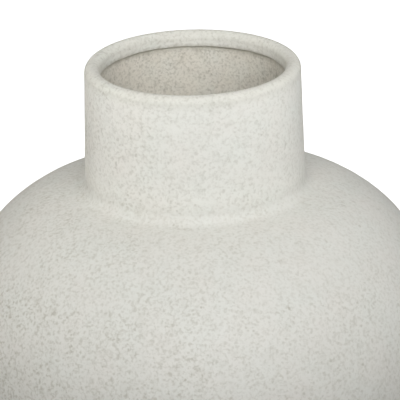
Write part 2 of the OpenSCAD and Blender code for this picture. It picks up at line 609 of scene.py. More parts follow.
@dataclass(frozen=True)
class HandMarks:
    """Small departures from true that throwing, joining and dipping leave.

    Each method is a function of the angle round the axis and of a place in the
    half-section, so that pieces that touch move together.

    Args:
        form: The pot's form.
        seed: Start of the random draws.
        lean: Size of the largest wave of the wall.
        wobble_waves: Number of waves of the wall.
        wobble_height: Height over which a wave may turn once.
        ridge_low: Height of the throwing ridges in the neck.
        ridge_high: Height of the throwing ridges in the belly.
        ridge_pitch: Rise of a ridge with each turn.
        axis_calm: Radius inside which sway and ridges die out.
        ripple_waves: Number of waves in the dipped glaze.
        ripple_depth: Their usual height.
        ripple_turns: Fewest and most waves round the axis.
        ripple_rise: Slowest and quickest change with the height, in radians per metre.
    """

    form: Form
    seed: int = 11
    lean: float = 0.10 * MM
    wobble_waves: int = 5
    wobble_height: float = 0.09
    ridge_low: float = 0.05 * MM
    ridge_high: float = 0.30 * MM
    ridge_pitch: float = 9.0 * MM
    axis_calm: float = 22.0 * MM
    ripple_waves: int = 28
    ripple_depth: float = 0.030 * MM
    ripple_turns: tuple[int, int] = (14, 60)
    ripple_rise: tuple[float, float] = (60.0, 420.0)

    def sway(self, angle: Array, z: Array) -> Array:
        """Radial shift of the whole wall.

        A sum of cosines with 2, 3, ... lobes round the axis, each turning slowly with
        the height and smaller than the one before.

        Args:
            angle: Angles of the columns.
            z: Heights.

        Returns:
            The shift at each point.
        """
        draw = np.random.default_rng(self.seed)
        phase = draw.uniform(0.0, TURN, self.wobble_waves)
        twist = draw.uniform(-1.0, 1.0, self.wobble_waves) * TURN / self.wobble_height
        lobes = np.arange(self.wobble_waves) + 2
        height = self.lean / (1.0 + np.arange(self.wobble_waves))
        shift = np.zeros(np.broadcast_shapes(angle.shape, z.shape))
        for count, size, start, turn in zip(lobes, height, phase, twist):
            shift = shift + size * np.cos(count * angle + turn * z + start)
        return shift

    def ridges(self, angle: Array, radius: Array, z: Array) -> Array:
        """Height of the spiral throwing ridges inside.

        The distance travelled up the wall is counted as the change in height plus the
        change in radius; one ridge rises a pitch with each turn. The ridges are faint
        in the neck, strong in the belly, and die out at the middle of the floor.

        Args:
            angle: Angles of the columns.
            radius: Radii.
            z: Heights.

        Returns:
            The height at each point.
        """
        widest = self.form.belly_r - self.form.wall_t
        above = z > self.form.widest_z
        travelled = z + np.where(above, 2 * widest - radius, radius)
        swell = 1.0 - smooth(self.form.widest_z, self.form.widest_z + self.form.shoulder_rise, z)
        size = self.ridge_low + (self.ridge_high - self.ridge_low) * swell
        calm = smooth(0.0, self.axis_calm, radius)
        return size * calm * 0.5 * (1.0 + np.cos(TURN * travelled / self.ridge_pitch - angle))

    def ripples(self, angle: Array, z: Array) -> Array:
        """Gentle swell of the dipped glaze: many small waves in all directions.

        Args:
            angle: Angles of the columns.
            z: Heights.

        Returns:
            The swell at each point.
        """
        draw = np.random.default_rng(self.seed + 1)
        turns = draw.integers(*self.ripple_turns, self.ripple_waves)
        rise = draw.uniform(*self.ripple_rise, self.ripple_waves)
        side = draw.choice([-1.0, 1.0], self.ripple_waves)
        phase = draw.uniform(0.0, TURN, self.ripple_waves)
        total = np.zeros(np.broadcast_shapes(angle.shape, z.shape))
        for count, climb, start in zip(turns, rise * side, phase):
            total = total + np.cos(count * angle + climb * z + start)
        return self.ripple_depth * total / sqrt(self.ripple_waves / 2)

    def edge_wave(self, angle: Array, lobes: Sequence[int], size: float) -> Array:
        """Wavy course of a glaze edge: cosines with the given lobes, from -size to size.

        Args:
            angle: Angles of the columns.
            lobes: Number of waves of each cosine.
            size: Greatest height.

        Returns:
            The height at each angle.
        """
        draw = np.random.default_rng(self.seed + sum(lobes))
        phase = draw.uniform(0.0, TURN, len(lobes))
        waves = [np.cos(count * angle + start) for count, start in zip(lobes, phase)]
        return size * np.sum(waves, axis=0) / len(lobes)


# --- Meshes ---


def new_piece(
    name: str, points: Array, faces: Array, sharp_from: float = radians(40.0)
) -> bpy.types.Object:
    """Makes a mesh object from whole arrays.

    Args:
        name: The piece's name.
        points: Vertices x 3, in metres, in the frame.
        faces: Faces x 4 vertex numbers; a triangle repeats its last number.
        sharp_from: Edges that turn more than this are shown sharp.

    Returns:
        The linked object, at the origin, unturned and unscaled.
    """
    triangle = faces[:, 3] == faces[:, 2]
    sizes = np.where(triangle, 3, 4)
    used = np.ones(faces.shape, bool)
    used[:, 3] = ~triangle
    mesh = bpy.data.meshes.new(name)
    mesh.vertices.add(len(points))
    mesh.vertices.foreach_set("co", points.astype(np.float32).ravel())
    mesh.loops.add(int(sizes.sum()))
    mesh.loops.foreach_set("vertex_index", faces[used].astype(np.int32))
    mesh.polygons.add(len(faces))
    starts = np.concatenate([[0], np.cumsum(sizes)[:-1]])
    mesh.polygons.foreach_set("loop_start", starts.astype(np.int32))
    mesh.polygons.foreach_set("use_smooth", np.ones(len(faces), bool))
    mesh.update(calc_edges=True)
    mesh.set_sharp_from_angle(angle=sharp_from)
    piece = bpy.data.objects.new(name, mesh)
    bpy.context.scene.collection.objects.link(piece)
    return piece


def turned_faces(rows: int, columns: int, ring: bool) -> Array:
    """Faces of a grid of rows by columns that closes round the axis.

    Args:
        rows: Rows of the grid.
        columns: Columns round the axis.
        ring: True if the last row also joins the first.

    Returns:
        Quads that face out where the rows run anticlockwise in the half-section.
    """
    row = np.arange(rows if ring else rows - 1)[:, None]
    column = np.arange(columns)[None, :]
    beside = (column + 1) % columns
    above = (row + 1) % rows
    corners = [row * columns + column, row * columns + beside, above * columns + beside]
    corners.append(above * columns + column)
    return np.stack(np.broadcast_arrays(*corners), axis=-1).reshape(-1, 4)


def pole_faces(pole: int, first: int, columns: int, low: bool) -> Array:
    """Triangles between a pole and its ring, facing down at the low pole and up at the high.

    Args:
        pole: Number of the pole.
        first: Number of the ring's first vertex.
        columns: Columns round the axis.
        low: True at the low pole.

    Returns:
        The triangles, with their last number repeated.
    """
    column = np.arange(columns)
    here, beside = first + column, first + (column + 1) % columns
    ends = (beside, here) if low else (here, beside)
    top = np.full(columns, pole)
    return np.stack([top, ends[0], ends[1], ends[1]], axis=-1)


@dataclass(frozen=True)
class Wheel:
    """Turns half-sections into pieces.

    Args:
        marks: The hand marks that the pieces get.
        columns: Columns round the axis.
    """

    marks: HandMarks
    columns: int = COLUMNS

    def points(self, outline: Outline, centre: tuple[float, float] = (0.0, 0.0)) -> Array:
        """The grid of an outline carried round the axis.

        A point is its place plus the push times the ridges; its radius also gets the
        wall's sway, which dies out towards the axis.

        Args:
            outline: The half-section.
            centre: Where the axis stands.

        Returns:
            Rows x columns x 3.
        """
        angle = column_angles(self.columns)[None, :]
        radius, z = outline.place[..., 0], outline.place[..., 1]
        ridge = self.marks.ridges(angle, radius, z)
        sway = self.marks.sway(angle, z) * smooth(0.0, self.marks.axis_calm, radius)
        moved_r = radius + outline.push[..., 0] * ridge + sway
        moved_z = z + outline.push[..., 1] * ridge
        x, y = moved_r * np.cos(angle), moved_r * np.sin(angle)
        return np.stack([x + centre[0], y + centre[1], np.broadcast_to(moved_z, x.shape)], axis=-1)

    def ring(self, name: str, outline: Outline) -> bpy.types.Object:
        """A piece whose half-section is a closed loop clear of the axis.

        Args:
            name: The piece's name.
            outline: The half-section.

        Returns:
            The piece.
        """
        grid = self.points(outline)
        faces = turned_faces(grid.shape[0], self.columns, ring=True)
        return new_piece(name, grid.reshape(-1, 3), faces)

    def capped(self, name: str, outline: Outline) -> bpy.types.Object:
        """A piece whose half-section starts and ends on the axis, closed by two poles.

        Args:
            name: The piece's name.
            outline: The half-section.

        Returns:
            The piece.
        """
        grid = self.points(outline)
        inner = grid[1:-1]
        rows = inner.shape[0]
        poles = np.stack([grid[0].mean(axis=0), grid[-1].mean(axis=0)])
        low = rows * self.columns
        faces = [
            turned_faces(rows, self.columns, ring=False),
            pole_faces(low, 0, self.columns, low=True),
            pole_faces(low + 1, (rows - 1) * self.columns, self.columns, low=False),
        ]
        points = np.concatenate([inner.reshape(-1, 3), poles])
        return new_piece(name, points, np.concatenate(faces))


# --- Shader graphs ---


class Graph:
    """Adds nodes to one node tree and links them."""

    def __init__(self, tree: bpy.types.NodeTree) -> None:
        """Starts on an emptied tree."""
        self.tree = tree
        self.tree.nodes.clear()

    def add(
        self, kind: str, inputs: dict[str | int, object] | None = None, **settings: object
    ) -> bpy.types.Node:
        """Adds a node.

        Args:
            kind: The node's type.
            inputs: Value or socket for each input, by name or number.
            settings: Attributes of the node itself.

        Returns:
            The node.
        """
        node = self.tree.nodes.new(kind)
        for key, value in settings.items():
            setattr(node, key, value)
        for key, value in (inputs or {}).items():
            self.plug(node.inputs[key], value)
        return node

    def plug(self, socket: Socket, value: object) -> None:
        """Fills one input.

        Args:
            socket: The input.
            value: A socket, which is linked, or a value, which is set.
        """
        if isinstance(value, bpy.types.NodeSocket):
            self.tree.links.new(value, socket)
        elif isinstance(value, tuple) and len(value) == 3 and socket.type == "RGBA":
            socket.default_value = (*value, 1.0)
        else:
            socket.default_value = value

    def group(self, tree: bpy.types.NodeTree, inputs: dict[str, object]) -> Sockets:
        """The outputs of a shared node group, placed here with its own inputs."""
        return self.add("ShaderNodeGroup", inputs, node_tree=tree).outputs

    def math(self, operation: str, first: object, second: object = 0.0, clamp: bool = False) -> Socket:
        """The result of a Math node."""
        inputs = {0: first, 1: second}
        return self.add("ShaderNodeMath", inputs, operation=operation, use_clamp=clamp).outputs[0]

    def scaled(self, value: object, factor: float, base: float) -> Socket:
        """A value times a factor, plus a base."""
        inputs = {0: value, 1: factor, 2: base}
        return self.add("ShaderNodeMath", inputs, operation="MULTIPLY_ADD").outputs[0]

    def mix(self, share: object, first: object, second: object, blend: str = "MIX") -> Socket:
        """A colour between two.

        Args:
            share: How far from the first to the second.
            first: The first colour.
            second: The second colour.
            blend: Blender's name of the way they are mixed.

        Returns:
            The colour.
        """
        inputs = {MIX_SHARE: share, MIX_FIRST: first, MIX_SECOND: second}
        node = self.add("ShaderNodeMix", inputs, data_type="RGBA", blend_type=blend)
        return node.outputs[MIX_RESULT]

    def ramp(
        self, value: object, low: object, high: object, start: float = 0.0, end: float = 1.0
    ) -> Socket:
        """A smooth step of a value.

        Args:
            value: The value.
            low: Value at which the step begins.
            high: Value at which it is complete.
            start: Result up to the beginning.
            end: Result from the completion on.

        Returns:
            The result.
        """
        inputs = {"Value": value, "From Min": low, "From Max": high, "To Min": start, "To Max": end}
        node = self.add("ShaderNodeMapRange", inputs, interpolation_type="SMOOTHSTEP")
        return node.outputs["Result"]

    def noise(self, vector: object, scale: object, detail: float = 2.0, rough: float = 0.5) -> Socket:
        """The value of a noise texture, about NOISE_MIDDLE."""
        inputs = {"Vector": vector, "Scale": scale, "Detail": detail, "Roughness": rough}
        return self.add("ShaderNodeTexNoise", inputs).outputs["Fac"]

    def shifted(self, vector: object, offset: object) -> Socket:
        """A vector moved by an offset, so that a pattern is used at another place."""
        inputs = {0: vector, 1: offset}
        return self.add("ShaderNodeVectorMath", inputs, operation="ADD").outputs[0]

    def length(self, vector: object) -> Socket:
        """The length of a vector."""
        return self.add("ShaderNodeVectorMath", {0: vector}, operation="LENGTH").outputs["Value"]

    def parts(self, vector: object) -> Sockets:
        """The three coordinates of a vector."""
        return self.add("ShaderNodeSeparateXYZ", {0: vector}).outputs


def new_group(
    name: str, inputs: dict[str, float | None], outputs: Sequence[str]
) -> tuple[Graph, Sockets, Sockets]:
    """Starts a shader node group.

    Args:
        name: The group's name.
        inputs: Name and default of each input; None marks a vector.
        outputs: Names of the value outputs.

    Returns:
        The group's graph, what comes in and what goes out.
    """
    tree = bpy.data.node_groups.new(name, "ShaderNodeTree")
    for key, value in inputs.items():
        kind = "NodeSocketVector" if value is None else "NodeSocketFloat"
        socket = tree.interface.new_socket(name=key, in_out="INPUT", socket_type=kind)
        if value is not None:
            socket.default_value = value
    for key in outputs:
        tree.interface.new_socket(name=key, in_out="OUTPUT", socket_type="NodeSocketFloat")
    graph = Graph(tree)
    entry = graph.add("NodeGroupInput")
    leave = graph.add("NodeGroupOutput")
    return graph, entry.outputs, leave.inputs


@dataclass
class Effects:
    """The node groups that the finishes share, each built once.

    Args:
        net_detail: Octaves of the stipple's noise.
        net_rough: Strength of its finer octaves.
        net_curl: How far it is distorted.
        ragged_detail: Octaves of the noise that makes specks ragged.
        size_range: Size of the smallest speck, and what the largest has more, as shares.
        depth_range: Depth of the faintest speck, and what the strongest has more.
        cloud_offset: Where the clouds' noise is read.
        patch_offset: Where the patches' noise is read.
        sand_detail: Octaves of the sand.
        sand_rough: Strength of its finer octaves.
        pit_density: Pits for each grain of sand along a line.
        pit_radius: Radius of a pit, as a share of the pits' spacing.
    """

    net_detail: float = 2.5
    net_rough: float = 0.55
    net_curl: float = 0.35
    ragged_detail: float = 1.0
    size_range: tuple[float, float] = (0.55, 0.9)
    depth_range: tuple[float, float] = (0.4, 0.6)
    cloud_offset: Triple = (0.0, 0.0, 0.0)
    patch_offset: Triple = (3.1, 1.7, 5.3)
    sand_detail: float = 3.0
    sand_rough: float = 0.6
    pit_density: float = 0.4
    pit_radius: float = 0.22
    stipple: bpy.types.NodeTree = field(init=False)
    speckle: bpy.types.NodeTree = field(init=False)
    mottle: bpy.types.NodeTree = field(init=False)
    crease: bpy.types.NodeTree = field(init=False)
    grain: bpy.types.NodeTree = field(init=False)

    def __post_init__(self) -> None:
        """Builds the five groups."""
        self.stipple = self.build_stipple()
        self.speckle = self.build_speckle()
        self.mottle = self.build_mottle()
        self.crease = self.build_crease_shade()
        self.grain = self.build_grain()

    def build_stipple(self) -> bpy.types.NodeTree:
        """Netted stipple: a curled noise cut by a smooth step.

        Values above the cut join into dark flecks that run between pale islands.

        Returns:
            The group.
        """
        inputs = {"Vector": None, "Size": 2.0 * MM, "From": 0.45, "To": 0.7}
        graph, entry, leave = new_group("stipple", inputs, ["Mask"])
        curled = {
            "Vector": entry["Vector"],
            "Scale": graph.math("DIVIDE", 1.0, entry["Size"]),
            "Detail": self.net_detail,
            "Roughness": self.net_rough,
            "Distortion": self.net_curl,
        }
        noise = graph.add("ShaderNodeTexNoise", curled).outputs["Fac"]
        graph.plug(leave["Mask"], graph.ramp(noise, entry["From"], entry["To"]))
        return graph.tree

    def build_speckle(self) -> bpy.types.NodeTree:
        """Ragged specks: cells of a Voronoi pattern, each with its own size and depth.

        The coordinates are first warped by a noise, which makes the specks ragged. A
        speck is a smooth step of the distance to its cell's centre, round a size that
        differs from cell to cell, and its depth differs too.

        Returns:
            The group.
        """
        inputs = {"Vector": None, "Spacing": 2.0 * MM, "Size": 0.3, "Softness": 0.1, "Ragged": 0.3}
        graph, entry, leave = new_group("speckle", inputs, ["Mask"])
        scale = graph.math("DIVIDE", 1.0, entry["Spacing"])
        torn = {"Vector": entry["Vector"], "Scale": scale, "Detail": self.ragged_detail}
        noise = graph.add("ShaderNodeTexNoise", torn).outputs["Color"]
        middle = (NOISE_MIDDLE, NOISE_MIDDLE, NOISE_MIDDLE)
        centred = graph.add("ShaderNodeVectorMath", {0: noise, 1: middle}, operation="SUBTRACT")
        reach_in = graph.math("MULTIPLY", entry["Spacing"], entry["Ragged"])
        pull = {0: centred.outputs[0], "Scale": reach_in}
        warp = graph.add("ShaderNodeVectorMath", pull, operation="SCALE")
        moved = graph.shifted(entry["Vector"], warp.outputs[0])
        cells = graph.add("ShaderNodeTexVoronoi", {"Vector": moved, "Scale": scale}).outputs
        chance = graph.add("ShaderNodeSeparateColor", {0: cells["Color"]}).outputs
        least_size, more_size = self.size_range
        size = graph.math("MULTIPLY", entry["Size"], graph.scaled(chance[0], more_size, least_size))
        inner = graph.math("SUBTRACT", size, entry["Softness"])
        outer = graph.math("ADD", size, entry["Softness"])
        speck = graph.ramp(cells["Distance"], inner, outer, 1.0, 0.0)
        least_depth, more_depth = self.depth_range
        depth = graph.scaled(chance[1], more_depth, least_depth)
        graph.plug(leave["Mask"], graph.math("MULTIPLY", speck, depth, clamp=True))
        return graph.tree

    def build_mottle(self) -> bpy.types.NodeTree:
        """Slow cloudy variation: two noises about their middle, stretched by a contrast.

        Returns:
            The group.
        """
        inputs = {"Vector": None, "Size": 20.0 * MM, "Contrast": 2.0}
        graph, entry, leave = new_group("mottle", inputs, ["Cloud", "Patch"])
        scale = graph.math("DIVIDE", 1.0, entry["Size"])
        for name, offset in (("Cloud", self.cloud_offset), ("Patch", self.patch_offset)):
            value = graph.noise(graph.shifted(entry["Vector"], offset), scale)
            centred = graph.math("SUBTRACT", value, NOISE_MIDDLE)
            wide = graph.math("MULTIPLY", centred, entry["Contrast"])
            graph.plug(leave[name], graph.math("ADD", wide, NOISE_MIDDLE, clamp=True))
        return graph.tree

    def build_crease_shade(self) -> bpy.types.NodeTree:
        """Painted shade near a circle round the axis, standing in for the shadow under the lip's ledge.

        The distance to the circle, made uneven by a noise, goes through a smooth step
        from 1 at the circle to 0 at the reach.

        Returns:
            The group.
        """
        circle = {"Vector": None, "Radius": 50.0 * MM, "Height": 200.0 * MM}
        inputs = {**circle, "Reach": 2.0 * MM, "Uneven": 1.0 * MM}
        graph, entry, leave = new_group("crease", inputs, ["Mask"])
        place = graph.parts(entry["Vector"])
        flat = graph.add("ShaderNodeCombineXYZ", {0: place[0], 1: place[1]}).outputs[0]
        across = graph.math("SUBTRACT", graph.length(flat), entry["Radius"])
        up = graph.math("SUBTRACT", place[2], entry["Height"])
        offset = graph.add("ShaderNodeCombineXYZ", {0: across, 1: up}).outputs[0]
        noise = graph.noise(entry["Vector"], graph.math("DIVIDE", 1.0, entry["Reach"]))
        centred = graph.math("SUBTRACT", noise, NOISE_MIDDLE)
        shift = graph.math("MULTIPLY", centred, entry["Uneven"])
        moved = graph.math("ADD", graph.length(offset), shift)
        graph.plug(leave["Mask"], graph.ramp(moved, 0.0, entry["Reach"], 1.0, 0.0))
        return graph.tree

    def build_grain(self) -> bpy.types.NodeTree:
        """Sandy surface: fine noise with small pits, as a height from 0 to 1.

        Returns:
            The group.
        """
        inputs = {"Vector": None, "Size": 1.0 * MM, "Pits": 0.3}
        graph, entry, leave = new_group("grain", inputs, ["Height"])
        scale = graph.math("DIVIDE", 1.0, entry["Size"])
        sand = graph.noise(entry["Vector"], scale, self.sand_detail, self.sand_rough)
        pit_scale = graph.math("MULTIPLY", scale, self.pit_density)
        cells = graph.add("ShaderNodeTexVoronoi", {"Vector": entry["Vector"], "Scale": pit_scale})
        pit = graph.ramp(cells.outputs["Distance"], 0.0, self.pit_radius, 1.0, 0.0)
        sunk = graph.math("MULTIPLY", pit, entry["Pits"])
        graph.plug(leave["Height"], graph.math("SUBTRACT", sand, sunk))
        return graph.tree


@dataclass(frozen=True)
class Stipple:
    """One layer of netted stipple.

    Args:
        size: Size of its net, in metres.
        start: Value of the noise at which a fleck begins.
        full: Value at which it is complete.
        strength: Strength of the layer.
        offset: Where the noise is read.
    """

    size: float
    start: float
    full: float
    strength: float
    offset: Triple = (0.0, 0.0, 0.0)

    def mask(self, graph: Graph, effects: Effects, place: Socket) -> Socket:
        """The layer's mask times its strength.

        Args:
            graph: The material's graph.
            effects: The shared groups.
            place: Object coordinates.

        Returns:
            A value from 0 to the strength.
        """
        inputs = {
            "Vector": graph.shifted(place, self.offset),
            "Size": self.size,
            "From": self.start,
            "To": self.full,
        }
        mask = graph.group(effects.stipple, inputs)["Mask"]
        return graph.math("MULTIPLY", mask, self.strength)


@dataclass(frozen=True)
class Specks:
    """One population of specks.

    Args:
        spacing: Distance between specks, in metres.
        size: Radius of a large speck, as a share of the spacing.
        softness: Half the width of its edge, as a share of the spacing.
        strength: Strength of the population.
        ragged: How far its edge is torn, as a share of the spacing.
        offset: Where the pattern is read.
    """

    spacing: float
    size: float
    softness: float
    strength: float
    ragged: float = 0.7
    offset: Triple = (0.0, 0.0, 0.0)

    def mask(self, graph: Graph, effects: Effects, place: Socket) -> Socket:
        """The population's mask times its strength.

        Args:
            graph: The material's graph.
            effects: The shared groups.
            place: Object coordinates.

        Returns:
            A value from 0 to the strength.
        """
        inputs = {
            "Vector": graph.shifted(place, self.offset),
            "Spacing": self.spacing,
            "Size": self.size,
            "Softness": self.softness,
            "Ragged": self.ragged,
        }
        mask = graph.group(effects.speckle, inputs)["Mask"]
        return graph.math("MULTIPLY", mask, self.strength)


@dataclass(frozen=True)
class Tier:
    """How a coat looks from a height upwards.

    Args:
        height: The height.
        lightness: Factor on the ground's colour.
        speckle: Factor on the specks.
        thinness: Share of the thin coat's colour.
        fade: Half the height over which it takes over from the tier below.
    """

    height: float
    lightness: float
    speckle: float
    thinness: float = 0.0
    fade: float = 6.0 * MM


@dataclass(frozen=True)
class CreaseShade:
    """A circle round the axis along which a coat gets painted shade.

    Args:
        radius: The circle's radius.
        height: The circle's height.
        reach: How far from the circle the painted shade goes.
        strength: Strength of the painted shade at the circle.
        colour: Colour of the painted shade.
        uneven: How far a noise moves it.
    """

    radius: float
    height: float
    reach: float
    strength: float
    colour: Colour
    uneven: float = 2.4 * MM

    def over(self, graph: Graph, effects: Effects, place: Socket, colour: Socket) -> Socket:
        """The colour with the painted shade over it.

        Args:
            graph: The material's graph.
            effects: The shared groups.
            place: Object coordinates.
            colour: The colour without the shade.

        Returns:
            The colour with it.
        """
        inputs = {
            "Vector": place,
            "Radius": self.radius,
            "Height": self.height,
            "Reach": self.reach,
            "Uneven": self.uneven,
        }
        mask = graph.group(effects.crease, inputs)["Mask"]
        return graph.mix(graph.math("MULTIPLY", mask, self.strength), colour, self.colour)


@dataclass(frozen=True)
class Ceramic:
    """A fired surface: ground colours, specks, a sandy relief and a roughness.

    Args:
        name: The material's name.
        ground: Main colour.
        cool: Colour of the cooler clouds.
        warm: Colour of the warmer patches.
        speck: Colour of the specks.
        specks: The populations of specks.
        stipples: The layers of netted stipple.
        thin: Colour where the coat is thin, for a coat with tiers.
        cloud_size: Size of the clouds.
        cloud_share: How strongly the cool clouds show.
        patch_share: How strongly the warm patches show.
        cloud_specks: What a cloud adds to the specks' strength, and their strength in none.
        grain_size: Size of the sand in the surface.
        relief: Height of the sand.
        speck_relief: Height that a speck sinks.
        roughness: Roughness of the ground.
        speck_roughness: Change of the roughness in a speck.
        tiers: How the coat's lightness, specks and thin colour change on its way up, lowest first; none
            is the same all over.
        flanks: Strength of the specks on the -X and the +X side.
        flank: Distance from the axis at which a side has its full strength.
        crease: The circle of painted shade under the lip's ledge, if there is one.
    """

    name: str
    ground: Colour
    cool: Colour
    warm: Colour
    speck: Colour
    specks: tuple[Specks, ...]
    stipples: tuple[Stipple, ...] = ()
    thin: Colour | None = None
    cloud_size: float = 18.0 * MM
    cloud_share: float = 0.6
    patch_share: float = 0.5
    cloud_specks: tuple[float, float] = (0.5, 0.7)
    grain_size: float = 1.1 * MM
    relief: float = 0.05 * MM
    speck_relief: float = 0.03 * MM
    roughness: float = 0.6
    speck_roughness: float = 0.1
    tiers: tuple[Tier, ...] = ()
    flanks: tuple[float, float] = (1.0, 1.0)
    flank: float = 110.0 * MM
    crease: CreaseShade | None = None

    def climbed(self, graph: Graph, place: Socket, values: Sequence[float]) -> Socket:
        """A value that passes smoothly from each tier's to the next one's on the way up.

        It is the first value plus, for each later tier, the difference from the one
        before times a smooth step round that tier's height.

        Args:
            graph: The material's graph.
            place: Object coordinates.
            values: One value for each tier.

        Returns:
            The value at each point.
        """
        height = graph.parts(place)[2]
        total: Socket | float = values[0]
        for tier, before, after in zip(self.tiers[1:], values, values[1:]):
            low, high = tier.height - tier.fade, tier.height + tier.fade
            total = graph.math("ADD", total, graph.ramp(height, low, high, 0.0, after - before))
        return total

    def clouded(self, graph: Graph, effects: Effects, place: Socket) -> tuple[Socket, Socket]:
        """The ground with its cool clouds and warm patches.

        Args:
            graph: The material's graph.
            effects: The shared groups.
            place: Object coordinates.

        Returns:
            The ground's colour, and the clouds' own mask.
        """
        mottle = graph.group(effects.mottle, {"Vector": place, "Size": self.cloud_size})
        cool = graph.math("MULTIPLY", mottle["Cloud"], self.cloud_share)
        warm = graph.math("MULTIPLY", mottle["Patch"], self.patch_share)
        ground = graph.mix(warm, graph.mix(cool, self.ground, self.cool), self.warm)
        return ground, mottle["Cloud"]

    def speck_mask(self, graph: Graph, effects: Effects, place: Socket, cloud: Socket) -> Socket:
        """The masks of all specks and stipples added up, uneven with clouds and sides.

        Args:
            graph: The material's graph.
            effects: The shared groups.
            place: Object coordinates.
            cloud: The clouds' mask.

        Returns:
            A value from 0, bare ground, upwards.
        """
        mask: Socket | float = 0.0
        for layer in (*self.specks, *self.stipples):
            mask = graph.math("ADD", mask, layer.mask(graph, effects, place), clamp=True)
        mask = graph.math("MULTIPLY", mask, graph.scaled(cloud, *self.cloud_specks))
        if self.tiers:
            speckle = self.climbed(graph, place, [tier.speckle for tier in self.tiers])
            mask = graph.math("MULTIPLY", mask, speckle)
        side = graph.ramp(graph.parts(place)[0], -self.flank, self.flank, *self.flanks)
        return graph.math("MULTIPLY", mask, side)

    def sanded(self, graph: Graph, effects: Effects, place: Socket, mask: Socket) -> Socket:
        """The normal of the sandy surface, with the specks sunk into it.

        Args:
            graph: The material's graph.
            effects: The shared groups.
            place: Object coordinates.
            mask: The specks' mask.

        Returns:
            The normal.
        """
        grain = graph.group(effects.grain, {"Vector": place, "Size": self.grain_size})
        sand = graph.math("MULTIPLY", grain["Height"], self.relief)
        sunk = graph.math("MULTIPLY", mask, self.speck_relief)
        inputs = {"Height": graph.math("SUBTRACT", sand, sunk), "Distance": 1.0, "Strength": 1.0}
        return graph.add("ShaderNodeBump", inputs).outputs[0]

    def build(self, effects: Effects) -> bpy.types.Material:
        """Builds the material on Object coordinates.

        Args:
            effects: The shared groups.

        Returns:
            The material.
        """
        material = bpy.data.materials.new(self.name)
        material.use_nodes = True
        graph = Graph(material.node_tree)
        place = graph.add("ShaderNodeTexCoord").outputs["Object"]
        ground, cloud = self.clouded(graph, effects, place)
        if self.tiers:
            thinness = self.climbed(graph, place, [tier.thinness for tier in self.tiers])
            ground = graph.mix(thinness, ground, self.thin)
            lightness = self.climbed(graph, place, [tier.lightness for tier in self.tiers])
            ground = graph.mix(1.0, ground, lightness, blend="MULTIPLY")
        mask = self.speck_mask(graph, effects, place, cloud)
        colour = graph.mix(mask, ground, self.speck)
        # Painted shade along the lip's ledge, where the finish has it.
        if self.crease is not None:
            colour = self.crease.over(graph, effects, place, colour)
        inputs = {
            "Base Color": colour,
            "Roughness": graph.scaled(mask, self.speck_roughness, self.roughness),
            "Normal": self.sanded(graph, effects, place, mask),
        }
        shader = graph.add("ShaderNodeBsdfPrincipled", inputs)
        graph.add("ShaderNodeOutputMaterial", {"Surface": shader.outputs[0]})
        return material


